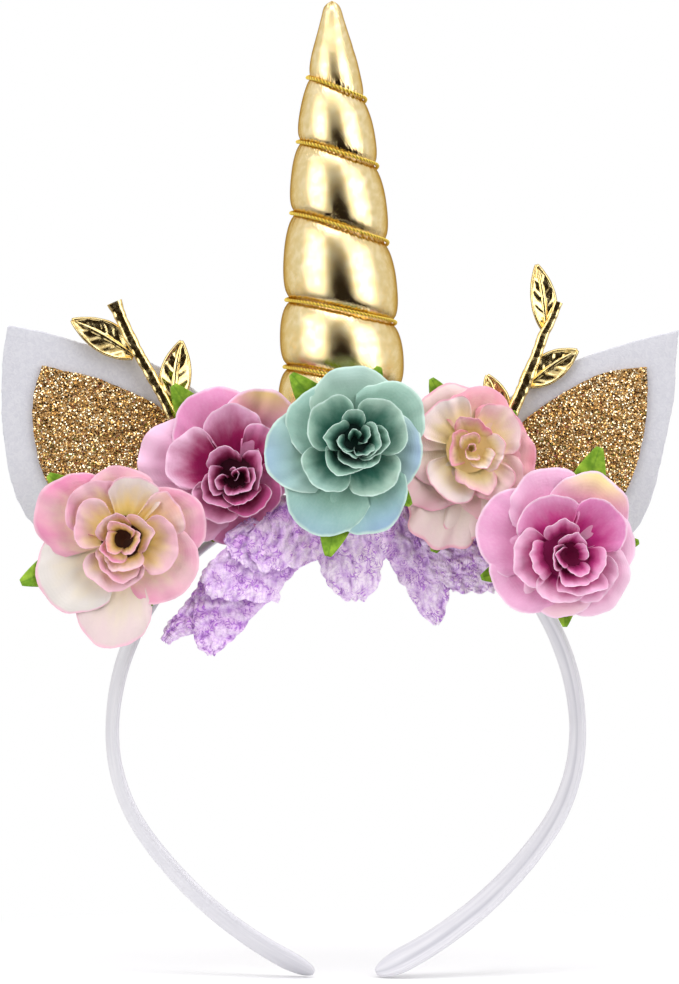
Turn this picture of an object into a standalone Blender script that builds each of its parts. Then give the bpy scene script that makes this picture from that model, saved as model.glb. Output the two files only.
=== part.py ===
"""A unicorn headband: a satin band with a stuffed horn, felt ears, gilt sprigs, cloth roses and lace.

The front faces -Y and +Z is up. The origin is where the crown of the head meets the inside of the band.
Sizes are in millimetres in the tables and become metres where a point is made.
"""

import math
from collections import namedtuple

import bmesh
import bpy

MM = 0.001
GAP = 0.4  # between pieces that are glued or laid together
WELD = 1e-6  # metres
HORN_WELD = 2e-5  # metres, wide enough to close the horn's tip

# The satin covered band: a hoop of three arcs on each side, twisted a little along its arms.
BAND_WIDTH = 10.0
BAND_THICKNESS = 1.8
CROWN_RADIUS = 60.5  # of the band's middle line, over the top half
SHOULDER_RADIUS = 46.0
SHOULDER_SWEEP = 35.0
ARM_RADIUS = 105.0
ARM_SWEEP = 31.5
BAND_TIP_LENGTH = 9.0
BAND_TIP_STATIONS = (0.25, 0.6)  # shares of the tip's length that get a station of their own
BAND_TIP_NARROWING = 0.95  # share of the squared width that is gone at the very tip
BAND_STEPS = 24  # on each side
HOOP_CENTRE_Z = BAND_THICKNESS / 2 - CROWN_RADIUS
BAND_SIDE_EDGE = 0.4  # height of the band's flat side edge, as a share of its thickness
BAND_BEVEL = 0.6

# The stuffed horn, and the cord that is wound into its spiral groove.
HORN_BASE_Z = BAND_THICKNESS + GAP
HORN_TIP_Z = 130.6
HORN_LEAN = -3.4  # the tip leans this far to the wearer's right
HORN_COLUMNS = 18
GROOVE_DEPTH = 0.13  # share of the radius
GROOVE_START = -0.5  # turns above the first full groove
WINDING_FRONT = 0.16  # turns less on the front half than on an even spiral
WINDING_MIDDLE = 0.05  # turns that the groove is flatter in the middle of the front
CORD_DIAMETER = 1.0
CORD_SEAT = 1.15  # the cord's middle above the bottom of the groove
CORD_START = -0.2  # in turns of the groove, as is the end
CORD_END = 5.6
HORN_SEAT_Y = -16.4  # the horn's front where the middle rose is glued to it

# Felt ears with a glitter sheet on their front.
FELT_THICKNESS = 2.0
FELT_FRONT = -FELT_THICKNESS / 2
GLITTER_THICKNESS = 0.8
GLITTER_FRONT = FELT_FRONT - GAP - GLITTER_THICKNESS
EAR_BASE_ANGLE = 38.0
EAR_AXIS_ANGLE = 41.0
EAR_FOOT_ANGLES = (55.0, 20.0)
EAR_FOOT_STEPS = 6
EAR_SEAT = 0.6  # above the band's outer face, which is twisted below it

# Gilt sprigs, which lie in front of the ears.
LEFT_SPRIG_Y = -4.3
RIGHT_SPRIG_Y = -2.9
LEAF_THICKNESS = 1.3
LEAF_DISH = 0.5
LEAF_BLUNT_BASE = 0.06  # share of the length that is cut off a full leaf shape at its base
LEAF_BLUNT_TIP = 0.15
LEAF_STATIONS = (0.0, 0.2, 0.42, 0.66, 0.86, 1.0)  # shares of its length

# Cloth roses.
CLOTH = 1.0
HUB_RADIUS = 3.6
LEAST_PETAL = 2.0  # a notch between petals reaches at least this far past the hub
OUTER_CUP = 6.0
OUTER_ROLL = 1.2
OUTER_RIPPLE = 0.5
OUTER_COLUMNS = 30
OUTER_RINGS = (0.35, 0.7, 1.0)
INNER_CUP = 10.0
INNER_RIPPLE = 0.3
INNER_COLUMNS = 24
INNER_RINGS = (0.5, 1.0)
CUP_REACH = 6.0  # how far out a whorl rises before it levels
RIPPLE_STEP = 2.4  # radians of the rim's ripple from one column to the next
WHORL_PITCH = CLOTH + GAP  # between the middles of two whorls at the hub
HEART_TURNS = 1.25
HEART_STEPS = 18
HEART_LEVELS = (0.0, 0.55, 1.0)  # shares of its height
HEART_HEIGHT = 9.2
HEART_THROAT = (0.6, 2.4)  # radius at the bottom, at the strip's first and last end
HEART_FIRST_RIM = 2.5
SEPAL_SLOPE = 0.2
SEPAL_HUB_RADIUS = 3.0
SEPAL_RINGS = (0.0, 0.5, 1.0)
STEM_RADII = (3.3, 2.6)  # at the petals and at the seat
STEM_SIDES = 10

TurnHeight = namedtuple("TurnHeight", "turn z")
HORN_TURNS = [
    TurnHeight(-1.2, HORN_TIP_Z),
    TurnHeight(0, 110.6),
    TurnHeight(1, 93.9),
    TurnHeight(2, 75.4),
    TurnHeight(3, 52.8),
    TurnHeight(4, 35.4),
    TurnHeight(5, 18.0),
    TurnHeight(6, HORN_BASE_Z),
]

HornGirth = namedtuple("HornGirth", "below_tip radius")
HORN_GIRTHS = [
    HornGirth(0, 0),
    HornGirth(0.4, 1.2),
    HornGirth(1.4, 2.0),
    HornGirth(4.2, 2.6),
    HornGirth(7.7, 3.5),
    HornGirth(13.9, 5.6),
    HornGirth(19.5, 7.1),
    HornGirth(30, 9.6),
    HornGirth(48, 12.5),
    HornGirth(67, 14.7),
    HornGirth(86, 16.1),
    HornGirth(101, 16.9),
    HornGirth(114, 17.2),
    HornGirth(124, 17.0),
    HornGirth(129, 15.8),
]

GroovePoint = namedtuple("GroovePoint", "past depth")
GROOVE_PROFILE = [
    GroovePoint(0.0, 1.0),
    GroovePoint(0.12, 0.35),
    GroovePoint(0.36, 0.0),
    GroovePoint(0.64, 0.0),
    GroovePoint(0.88, 0.35),
    GroovePoint(1.0, 1.0),
]

BandTwist = namedtuple("BandTwist", "along degrees")
BAND_TWISTS = [
    BandTwist(0, 0),
    BandTwist(35, 3),
    BandTwist(55, 14),
    BandTwist(68, 20),
    BandTwist(95, 18.5),
    BandTwist(130, 26),
    BandTwist(180, 34),
]

EarRow = namedtuple("EarRow", "height outer inner")
LEFT_EAR = [
    EarRow(10, 23.5, 24.0),
    EarRow(20, 27.2, 25.6),
    EarRow(30, 28.9, 26.0),
    EarRow(40, 28.0, 23.6),
    EarRow(50, 23.0, 18.7),
    EarRow(60, 16.0, 11.6),
    EarRow(70, 7.0, 5.0),
    EarRow(76, 0.0, 0.0),
]
RIGHT_EAR = [
    EarRow(10, 22.0, 22.5),
    EarRow(20, 25.0, 23.0),
    EarRow(30, 25.6, 22.2),
    EarRow(40, 22.0, 19.5),
    EarRow(50, 16.6, 15.5),
    EarRow(60, 11.0, 9.8),
    EarRow(68, 4.8, 4.5),
    EarRow(74.5, 0.0, 0.0),
]
LEFT_GLITTER = [
    EarRow(8, 14.0, 14.0),
    EarRow(16, 18.0, 16.6),
    EarRow(25, 19.2, 17.0),
    EarRow(34, 19.5, 16.0),
    EarRow(40, 18.6, 13.6),
    EarRow(46, 15.8, 10.9),
    EarRow(52, 12.1, 7.5),
    EarRow(58, 6.5, 3.0),
    EarRow(62.2, 0.0, 0.0),
]
RIGHT_GLITTER = [
    EarRow(6, 17.5, 13.0),
    EarRow(14, 18.8, 14.6),
    EarRow(24, 18.6, 15.0),
    EarRow(32, 17.7, 14.6),
    EarRow(42, 14.2, 12.0),
    EarRow(51, 9.0, 8.6),
    EarRow(57.3, 4.2, 4.2),
    EarRow(61.6, 0.0, 0.0),
]

LeafRib = namedtuple("LeafRib", "across rise")
LEAF_RIBS = [
    LeafRib(-1.0, 0.0),
    LeafRib(-0.5, -0.45),
    LeafRib(0.0, 0.45),
    LeafRib(0.5, -0.45),
    LeafRib(1.0, 0.0),
]

StemPoint = namedtuple("StemPoint", "x z radius")
GiltLeaf = namedtuple("GiltLeaf", "base_x base_z tip_x tip_z width")
LEFT_SPRIG = [
    StemPoint(-59.6, 51.7, 1.7),
    StemPoint(-58.1, 48.1, 1.6),
    StemPoint(-56.1, 43.7, 1.5),
    StemPoint(-53.5, 38.7, 1.4),
    StemPoint(-51.4, 35.1, 1.4),
    StemPoint(-48.8, 30.4, 1.3),
    StemPoint(-46.6, 26.3, 1.3),
    StemPoint(-43.9, 20.3, 1.3),
    StemPoint(-41.0, 14.3, 1.3),
]
LEFT_SPRIG_LEAVES = [
    GiltLeaf(-55.0, 38.6, -70.6, 47.3, 8.0),
    GiltLeaf(-44.2, 25.0, -42.5, 41.9, 7.8),
]
RIGHT_SPRIG = [
    StemPoint(55.6, 52.2, 1.1),
    StemPoint(53.1, 46.6, 1.1),
    StemPoint(51.1, 43.4, 1.1),
    StemPoint(49.2, 38.2, 1.2),
    StemPoint(47.6, 34.1, 1.3),
    StemPoint(46.1, 30.1, 1.4),
    StemPoint(43.2, 23.6, 1.4),
    StemPoint(40.8, 18.4, 1.4),
]
RIGHT_SPRIG_LEAVES = [
    GiltLeaf(52.2, 45.0, 49.7, 61.7, 6.2),
    GiltLeaf(47.9, 30.9, 60.1, 39.5, 7.2),
    GiltLeaf(40.6, 20.4, 36.9, 33.2, 6.4),
]

Lobe = namedtuple("Lobe", "direction reach spread")
Sepal = namedtuple("Sepal", "direction reach")
Rose = namedtuple("Rose", "name x z hub_y seat_y heart outer inner sepals")
ROSES = [
    Rose(
        name="rose_1",
        x=-56.4,
        z=-9.1,
        hub_y=-15.5,
        seat_y=GLITTER_FRONT,
        heart=7.0,
        outer=[
            Lobe(18, 21.6, 36),
            Lobe(95, 18.6, 36),
            Lobe(155, 24.5, 34),
            Lobe(213, 25.0, 36),
            Lobe(262, 27.9, 27),
            Lobe(325, 20.6, 36),
        ],
        inner=[
            Lobe(5, 15.0, 36),
            Lobe(85, 15.2, 36),
            Lobe(155, 16.0, 36),
            Lobe(225, 12.0, 36),
            Lobe(300, 11.8, 36),
        ],
        sepals=[
            Sepal(15, 17),
            Sepal(80, 16),
            Sepal(140, 25.5),
            Sepal(203, 28.8),
            Sepal(291, 18.6),
        ],
    ),
    Rose(
        name="rose_2",
        x=-28.1,
        z=6.4,
        hub_y=-6.5,
        seat_y=FELT_FRONT,
        heart=8.0,
        outer=[
            Lobe(20, 14.0, 28),
            Lobe(70, 24.7, 28),
            Lobe(113, 24.7, 32),
            Lobe(161, 26.0, 30),
            Lobe(213, 21.0, 34),
            Lobe(266, 17.6, 34),
            Lobe(322, 11.0, 34),
        ],
        inner=[
            Lobe(15, 12.5, 30),
            Lobe(85, 18.8, 34),
            Lobe(150, 17.3, 38),
            Lobe(228, 10.5, 34),
            Lobe(300, 11.0, 36),
        ],
        sepals=[
            Sepal(40, 15),
            Sepal(124, 29.0),
            Sepal(190, 17),
            Sepal(249, 17.5),
            Sepal(330, 14),
        ],
    ),
    Rose(
        name="rose_3",
        x=2.0,
        z=14.2,
        hub_y=-23.0,
        seat_y=HORN_SEAT_Y,
        heart=7.5,
        outer=[
            Lobe(40, 20.8, 30),
            Lobe(84, 20.8, 30),
            Lobe(135, 18.8, 30),
            Lobe(183, 22.6, 34),
            Lobe(243, 24.0, 32),
            Lobe(285, 22.6, 28),
            Lobe(345, 17.4, 36),
        ],
        inner=[
            Lobe(35, 13.4, 34),
            Lobe(110, 12.8, 36),
            Lobe(180, 14.2, 34),
            Lobe(245, 12.2, 36),
            Lobe(320, 11.6, 36),
        ],
        sepals=[
            Sepal(10, 16),
            Sepal(72, 21.6),
            Sepal(130, 24.4),
            Sepal(190, 17),
            Sepal(257, 28.4),
            Sepal(315, 20.8),
        ],
    ),
    Rose(
        name="rose_4",
        x=32.0,
        z=13.8,
        hub_y=-6.5,
        seat_y=FELT_FRONT,
        heart=8.0,
        outer=[
            Lobe(20, 14.4, 36),
            Lobe(75, 14.8, 30),
            Lobe(120, 17.6, 32),
            Lobe(185, 13.4, 34),
            Lobe(249, 27.4, 30),
            Lobe(300, 18.0, 30),
            Lobe(346, 17.6, 26),
        ],
        inner=[
            Lobe(30, 11.2, 36),
            Lobe(100, 11.8, 36),
            Lobe(180, 10.6, 36),
            Lobe(250, 15.5, 34),
            Lobe(320, 10.8, 34),
        ],
        sepals=[
            Sepal(39, 15.6),
            Sepal(118, 20.8),
            Sepal(190, 12),
            Sepal(251, 28.0),
            Sepal(323, 15.0),
        ],
    ),
    Rose(
        name="rose_5",
        x=56.3,
        z=-12.9,
        hub_y=-15.5,
        seat_y=GLITTER_FRONT,
        heart=9.0,
        outer=[
            Lobe(15, 17.6, 34),
            Lobe(64, 22.4, 30),
            Lobe(108, 23.0, 30),
            Lobe(156, 24.2, 34),
            Lobe(207, 20.6, 32),
            Lobe(262, 15.8, 34),
            Lobe(318, 18.2, 34),
        ],
        inner=[
            Lobe(25, 15.5, 34),
            Lobe(105, 16.2, 36),
            Lobe(165, 15.8, 34),
            Lobe(225, 12.8, 34),
            Lobe(300, 12.5, 38),
        ],
        sepals=[
            Sepal(9, 19.2),
            Sepal(72, 28.6),
            Sepal(135, 18),
            Sepal(196, 22.4),
            Sepal(270, 18.8),
        ],
    ),
]

SepalEdge = namedtuple("SepalEdge", "turn share")
SEPAL_OUTLINE = [
    SepalEdge(-15, 0.36),
    SepalEdge(-11.5, 0.7),
    SepalEdge(0, 1.0),
    SepalEdge(11.5, 0.7),
    SepalEdge(15, 0.36),
]

LaceRow = namedtuple("LaceRow", "x y z half across_degrees")
LACES = {
    "lace_left": [
        LaceRow(-13.8, -6.1, -1.0, 4.0, 12),
        LaceRow(-13.6, -12.5, -2.6, 5.2, -40),
        LaceRow(-15.0, -19.0, -7.2, 9.0, -31),
        LaceRow(-19.2, -19.0, -10.5, 9.8, -27),
        LaceRow(-22.4, -18.0, -14.5, 9.2, -29),
        LaceRow(-25.8, -16.0, -20.0, 9.8, -23),
        LaceRow(-29.3, -13.8, -24.2, 9.0, -15),
        LaceRow(-33.5, -12.8, -28.5, 8.0, -14),
        LaceRow(-37.4, -12.2, -32.8, 8.2, -14),
        LaceRow(-39.2, -11.8, -35.8, 6.0, -15),
    ],
    "lace_middle": [
        LaceRow(1.5, -6.1, 0.6, 4.5, 0),
        LaceRow(2.6, -12.0, -4.6, 7.4, 0),
        LaceRow(2.6, -15.6, -11.6, 8.4, 0),
        LaceRow(2.0, -16.4, -15.8, 7.9, 0),
        LaceRow(1.8, -15.4, -19.4, 6.8, 0),
        LaceRow(1.8, -14.8, -22.4, 4.6, 0),
        LaceRow(2.2, -14.6, -24.0, 2.0, 0),
    ],
    "lace_right": [
        LaceRow(14.2, -6.1, -1.4, 5.4, -14),
        LaceRow(17.6, -6.5, -5.4, 9.4, -10),
        LaceRow(22.2, -6.3, -10.6, 12.4, -6),
        LaceRow(25.0, -6.0, -17.0, 12.6, -3),
        LaceRow(26.6, -5.6, -21.8, 11.6, 0),
        LaceRow(22.0, -5.4, -24.2, 5.4, 0),
        LaceRow(22.4, -5.2, -27.6, 3.2, 0),
        LaceRow(23.2, -5.0, -30.2, 0.9, 0),
    ],
}
LACE = 1.0
LACE_COLUMNS = 4
LACE_RIPPLE = 0.5

Finish = namedtuple("Finish", "colour roughness metallic")
FINISHES = {
    "satin": Finish((0.86, 0.85, 0.88), 0.35, 0.0),
    "gold_lame": Finish((0.90, 0.70, 0.36), 0.28, 1.0),
    "gold_cord": Finish((0.85, 0.55, 0.12), 0.35, 1.0),
    "felt": Finish((0.88, 0.88, 0.92), 0.95, 0.0),
    "glitter": Finish((0.66, 0.44, 0.16), 0.45, 0.8),
    "gilt": Finish((0.90, 0.72, 0.34), 0.15, 1.0),
    "petal_cream": Finish((0.93, 0.76, 0.74), 0.7, 0.0),
    "petal_magenta": Finish((0.80, 0.36, 0.62), 0.7, 0.0),
    "petal_mint": Finish((0.48, 0.72, 0.64), 0.7, 0.0),
    "petal_blush": Finish((0.92, 0.66, 0.70), 0.7, 0.0),
    "petal_orchid": Finish((0.85, 0.48, 0.70), 0.7, 0.0),
    "leaf_green": Finish((0.24, 0.46, 0.10), 0.8, 0.0),
    "lace": Finish((0.72, 0.52, 0.86), 0.8, 0.0),
}
ROSE_FINISHES = ["petal_cream", "petal_magenta", "petal_mint", "petal_blush", "petal_orchid"]


def clear_scene():
    for old in list(bpy.data.objects):
        bpy.data.objects.remove(old)


def new_collection(name):
    collection = bpy.data.collections.new(name)
    bpy.context.scene.collection.children.link(collection)
    return collection


def make_materials():
    made = {}
    for name, finish in FINISHES.items():
        material = bpy.data.materials.new(name)
        material.use_nodes = True
        shader = material.node_tree.nodes["Principled BSDF"]
        shader.inputs["Base Color"].default_value = (*finish.colour, 1.0)
        shader.inputs["Roughness"].default_value = finish.roughness
        shader.inputs["Metallic"].default_value = finish.metallic
        made[name] = material
    return made


def point(x, y, z):
    return (x * MM, y * MM, z * MM)


def between(rows, key, value, at):
    """The value column of a table at a place on its key column, in straight steps."""
    if at <= getattr(rows[0], key):
        return getattr(rows[0], value)
    for low, high in zip(rows, rows[1:]):
        start, end = getattr(low, key), getattr(high, key)
        if at <= end:
            share = (at - start) / (end - start)
            return getattr(low, value) * (1 - share) + getattr(high, value) * share
    return getattr(rows[-1], value)


def smooth_path(points, steps):
    """Points along a Catmull-Rom curve through the given points."""
    path = []
    last = len(points) - 1
    for i in range(last):
        before, here = points[max(i - 1, 0)], points[i]
        there, after = points[i + 1], points[min(i + 2, last)]
        for step in range(steps):
            t = step / steps
            path.append(
                tuple(
                    b
                    + (c - a) / 2 * t
                    + (2 * a - 5 * b + 4 * c - d) / 2 * t**2
                    + (3 * b - a - 3 * c + d) / 2 * t**3
                    for a, b, c, d in zip(before, here, there, after)
                )
            )
    path.append(points[-1])
    return path


def mesh_object(name, points, faces, material):
    mesh = bpy.data.meshes.new(name)
    mesh.from_pydata(points, [], faces)
    mesh.validate()
    mesh.materials.append(material)
    made = bpy.data.objects.new(name, mesh)
    PIECES.objects.link(made)
    made.data.shade_smooth()
    made.data.set_sharp_from_angle(angle=math.radians(50))
    return made


def weld(made, distance=WELD):
    mesh = bmesh.new()
    mesh.from_mesh(made.data)
    bmesh.ops.remove_doubles(mesh, verts=mesh.verts, dist=distance)
    bmesh.ops.dissolve_degenerate(mesh, edges=mesh.edges, dist=distance)
    bmesh.ops.recalc_face_normals(mesh, faces=mesh.faces)
    mesh.to_mesh(made.data)
    mesh.free()


def thicken(made, thickness):
    solidify = made.modifiers.new("Cloth thickness", "SOLIDIFY")
    solidify.thickness = thickness * MM
    solidify.offset = 0.0
    return made


def grid_faces(rows, columns, closed):
    """Quads of a grid of points stored row by row. A closed grid joins its last column to its first."""
    faces = []
    for row in range(rows - 1):
        for column in range(columns if closed else columns - 1):
            after = (column + 1) % columns
            faces.append(
                (
                    row * columns + column,
                    row * columns + after,
                    (row + 1) * columns + after,
                    (row + 1) * columns + column,
                )
            )
    return faces


def band_station(along):
    """(x, z, outward angle) of the band this far from the crown, where the left side is negative."""
    side = -1 if along < 0 else 1
    rest = abs(along)
    crown = math.radians(90) * CROWN_RADIUS
    shoulder = math.radians(SHOULDER_SWEEP) * SHOULDER_RADIUS
    if rest <= crown:
        down = rest / CROWN_RADIUS
        x = CROWN_RADIUS * math.sin(down)
        z = HOOP_CENTRE_Z + CROWN_RADIUS * math.cos(down)
        return side * x, z, down * side
    shoulder_x = CROWN_RADIUS - SHOULDER_RADIUS
    if rest <= crown + shoulder:
        turn = (rest - crown) / SHOULDER_RADIUS
        x = shoulder_x + SHOULDER_RADIUS * math.cos(turn)
        z = HOOP_CENTRE_Z - SHOULDER_RADIUS * math.sin(turn)
        return side * x, z, side * (math.radians(90) + turn)
    first = math.radians(SHOULDER_SWEEP)
    arm_x = shoulder_x + (SHOULDER_RADIUS - ARM_RADIUS) * math.cos(first)
    arm_z = HOOP_CENTRE_Z - (SHOULDER_RADIUS - ARM_RADIUS) * math.sin(first)
    turn = first + (rest - crown - shoulder) / ARM_RADIUS
    x = arm_x + ARM_RADIUS * math.cos(turn)
    z = arm_z - ARM_RADIUS * math.sin(turn)
    return side * x, z, side * (math.radians(90) + turn)


def band_half_length():
    return (
        math.radians(90) * CROWN_RADIUS
        + math.radians(SHOULDER_SWEEP) * SHOULDER_RADIUS
        + math.radians(ARM_SWEEP) * ARM_RADIUS
    )


def build_band(material):
    half = band_half_length()
    stations = [half * step / BAND_STEPS for step in range(-BAND_STEPS, BAND_STEPS + 1)]
    extra = [half - BAND_TIP_LENGTH * share for share in BAND_TIP_STATIONS]
    stations = sorted(stations + extra + [-along for along in extra])
    thick = BAND_THICKNESS / 2
    points = []
    for along in stations:
        x, z, outward = band_station(along)
        from_tip = half - abs(along)
        narrow = 1.0
        if from_tip < BAND_TIP_LENGTH:
            narrow = math.sqrt(1 - (1 - from_tip / BAND_TIP_LENGTH) ** 2 * BAND_TIP_NARROWING)
        wide = BAND_WIDTH / 2 * narrow
        lip = min(BAND_BEVEL, wide / 2)
        edge = thick * BAND_SIDE_EDGE
        twist = math.radians(between(BAND_TWISTS, "along", "degrees", abs(along)))
        twist = twist if along < 0 else -twist
        section = [
            (wide, -edge),
            (wide, edge),
            (wide - lip, thick),
            (lip - wide, thick),
            (-wide, edge),
            (-wide, -edge),
            (lip - wide, -thick),
            (wide - lip, -thick),
        ]
        for across, out in section:
            depth = across * math.cos(twist) - out * math.sin(twist)
            radial = out * math.cos(twist) + across * math.sin(twist)
            points.append(point(x + radial * math.sin(outward), depth, z + radial * math.cos(outward)))
    sides = len(section)
    faces = grid_faces(len(stations), sides, closed=True)
    first = len(points) - sides
    faces.append(tuple(range(sides))[::-1])
    faces.append(tuple(range(first, first + sides)))
    weld(mesh_object("band", points, faces, material))


def winding(angle):
    """Turns of the groove gone by at an angle round the horn, from the left side over the front."""
    turns = angle / (2 * math.pi)
    whole = math.floor(turns)
    inside = angle - whole * 2 * math.pi
    flat_front = WINDING_FRONT * (1 - math.cos(inside)) / 2
    steep_middle = WINDING_MIDDLE * math.sin(2 * inside)
    return whole + inside / (2 * math.pi) - flat_front - steep_middle


def horn_height(turn):
    return between(HORN_TURNS, "turn", "z", turn)


def horn_radius(z):
    return between(HORN_GIRTHS, "below_tip", "radius", HORN_TIP_Z - z)


def horn_point(angle, radius, z):
    lean = HORN_LEAN * (z - HORN_BASE_Z) / (HORN_TIP_Z - HORN_BASE_Z)
    return point(lean - radius * math.cos(angle), -radius * math.sin(angle), z)


def groove_depth(turn, angle):
    """How deep the groove is at a height and an angle, from 0 to 1 at its bottom."""
    if turn <= GROOVE_START:
        return 0.0
    past = (turn - winding(angle)) % 1.0
    return between(GROOVE_PROFILE, "past", "depth", past)


def build_horn(material):
    top_turn = HORN_TURNS[0].turn
    last_turn = HORN_TURNS[-1].turn
    row_turns = [
        whole + row.past
        for whole in range(math.floor(top_turn) - 1, last_turn + 1)
        for row in GROOVE_PROFILE[:-1]
    ]
    points = []
    for row_turn in row_turns:
        for column in range(HORN_COLUMNS):
            angle = 2 * math.pi * column / HORN_COLUMNS
            turn = min(max(row_turn + winding(angle), top_turn), last_turn)
            z = horn_height(turn)
            radius = horn_radius(z) * (1 - GROOVE_DEPTH * groove_depth(turn, angle))
            points.append(horn_point(angle, radius, z))
    # One turn further down, the last column meets the first.
    rows_in_turn = len(GROOVE_PROFILE) - 1
    faces = []
    for row in range(len(row_turns) - 1):
        for column in range(HORN_COLUMNS):
            after, drop = (column + 1, 0) if column + 1 < HORN_COLUMNS else (0, rows_in_turn)
            if row + 1 + drop >= len(row_turns):
                continue
            here, below = row * HORN_COLUMNS, (row + 1) * HORN_COLUMNS
            shift = drop * HORN_COLUMNS
            faces.append((here + column, here + shift + after, below + shift + after, below + column))
    horn = mesh_object("horn", points, faces, material)
    weld(horn, HORN_WELD)
    close_base(horn)


def close_base(made):
    mesh = bmesh.new()
    mesh.from_mesh(made.data)
    rim = [edge for edge in mesh.edges if edge.is_boundary]
    bmesh.ops.holes_fill(mesh, edges=rim, sides=0)
    bmesh.ops.recalc_face_normals(mesh, faces=mesh.faces)
    mesh.to_mesh(made.data)
    mesh.free()


def wire_object(name, points, radii, material, bevel):
    """A six-sided tube through the points, with a bevel radius that each point's own radius scales."""
    curve = bpy.data.curves.new(name, "CURVE")
    curve.dimensions = "3D"
    curve.bevel_depth = bevel * MM
    curve.bevel_resolution = 1
    curve.use_fill_caps = True
    spline = curve.splines.new("POLY")
    spline.points.add(len(points) - 1)
    for place, co, radius in zip(spline.points, points, radii):
        place.co = (*co, 1.0)
        place.radius = radius
    curve.materials.append(material)
    made = bpy.data.objects.new(name, curve)
    PIECES.objects.link(made)
    return made


def build_cord(material):
    step = 2 * math.pi / HORN_COLUMNS
    first = math.ceil(CORD_START * HORN_COLUMNS)
    points = []
    last = math.floor((CORD_END + 1) * HORN_COLUMNS)
    for count in range(first, last):
        angle = count * step
        turn = winding(angle)
        if turn > CORD_END:
            break
        z = horn_height(turn)
        radius = horn_radius(z) * (1 - GROOVE_DEPTH) + CORD_SEAT
        points.append(horn_point(angle, radius, z))
    wire_object("horn_cord", points, [1.0] * len(points), material, CORD_DIAMETER / 2)


def ear_frame(side):
    """Where an ear's own height and breadth lie: (foot, height direction, outer direction) in X and Z."""
    foot_radius = CROWN_RADIUS + BAND_THICKNESS / 2
    angle = math.radians(EAR_BASE_ANGLE)
    foot = (side * foot_radius * math.sin(angle), HOOP_CENTRE_Z + foot_radius * math.cos(angle))
    lean = math.radians(EAR_AXIS_ANGLE)
    up = (side * math.sin(lean), math.cos(lean))
    outer = (side * math.cos(lean), -math.sin(lean))
    return foot, up, outer


def ear_point(side, height, breadth):
    foot, up, outer = ear_frame(side)
    return (
        foot[0] + up[0] * height + outer[0] * breadth,
        foot[1] + up[1] * height + outer[1] * breadth,
    )


def ear_outline(side, rows):
    """Up the outer edge to the tip, then down the inner edge."""
    outer = [ear_point(side, row.height, row.outer) for row in rows]
    inner = [ear_point(side, row.height, -row.inner) for row in rows[::-1]]
    return smooth_path(outer, 2)[:-1] + smooth_path(inner, 2)


def flat_object(name, outline, y, thickness, material):
    """A flat outline in X and Z as a filled 2D curve, stood upright with its middle at this y."""
    curve = bpy.data.curves.new(name, "CURVE")
    curve.dimensions = "2D"
    curve.fill_mode = "BOTH"
    curve.extrude = thickness / 2 * MM
    spline = curve.splines.new("POLY")
    spline.points.add(len(outline) - 1)
    for place, (x, z) in zip(spline.points, outline):
        place.co = (x * MM, z * MM, 0.0, 1.0)
    spline.use_cyclic_u = True
    curve.materials.append(material)
    made = bpy.data.objects.new(name, curve)
    made.rotation_euler = (math.radians(90), 0, 0)
    made.location = (0, y * MM, 0)
    PIECES.objects.link(made)


def build_ear(side_name, side, felt_rows, glitter_rows, materials):
    seat_radius = CROWN_RADIUS + BAND_THICKNESS / 2 + EAR_SEAT
    low, high = EAR_FOOT_ANGLES
    foot = []
    for step in range(EAR_FOOT_STEPS + 1):
        angle = math.radians(high + (low - high) * step / EAR_FOOT_STEPS)
        foot.append((side * seat_radius * math.sin(angle), HOOP_CENTRE_Z + seat_radius * math.cos(angle)))
    outline = ear_outline(side, felt_rows) + foot
    flat_object(f"ear_{side_name}", outline, 0.0, FELT_THICKNESS, materials["felt"])
    glitter_y = GLITTER_FRONT + GLITTER_THICKNESS / 2
    glitter = ear_outline(side, glitter_rows)
    flat_object(f"ear_{side_name}_glitter", glitter, glitter_y, GLITTER_THICKNESS, materials["glitter"])


def gilt_leaf_points(leaf, sprig_y):
    """A pointed leaf with a raised middle rib, dished between the rib and its edges."""
    dx, dz = leaf.tip_x - leaf.base_x, leaf.tip_z - leaf.base_z
    length = math.hypot(dx, dz)
    along, across = (dx / length, dz / length), (-dz / length, dx / length)
    points = []
    for share in LEAF_STATIONS:
        full = math.sin(math.pi * min(share + LEAF_BLUNT_BASE, 1.0)) ** 0.8
        half = leaf.width / 2 * full + LEAF_BLUNT_TIP
        for rib in LEAF_RIBS:
            x = leaf.base_x + along[0] * length * share + across[0] * half * rib.across
            z = leaf.base_z + along[1] * length * share + across[1] * half * rib.across
            y = sprig_y + LEAF_DISH * (1 - rib.across**2) - rib.rise * math.sin(math.pi * share)
            points.append(point(x, y, z))
    return points, grid_faces(len(LEAF_STATIONS), len(LEAF_RIBS), closed=False)


def as_mesh(made):
    """The evaluated object as a welded mesh object of the same name, in place of the first."""
    graph = bpy.context.evaluated_depsgraph_get()
    mesh = bpy.data.meshes.new_from_object(made.evaluated_get(graph))
    name, matrix = made.name, made.matrix_world.copy()
    bpy.data.objects.remove(made)
    mesh.transform(matrix)
    solid = bpy.data.objects.new(name, mesh)
    PIECES.objects.link(solid)
    weld(solid)
    return solid


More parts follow.
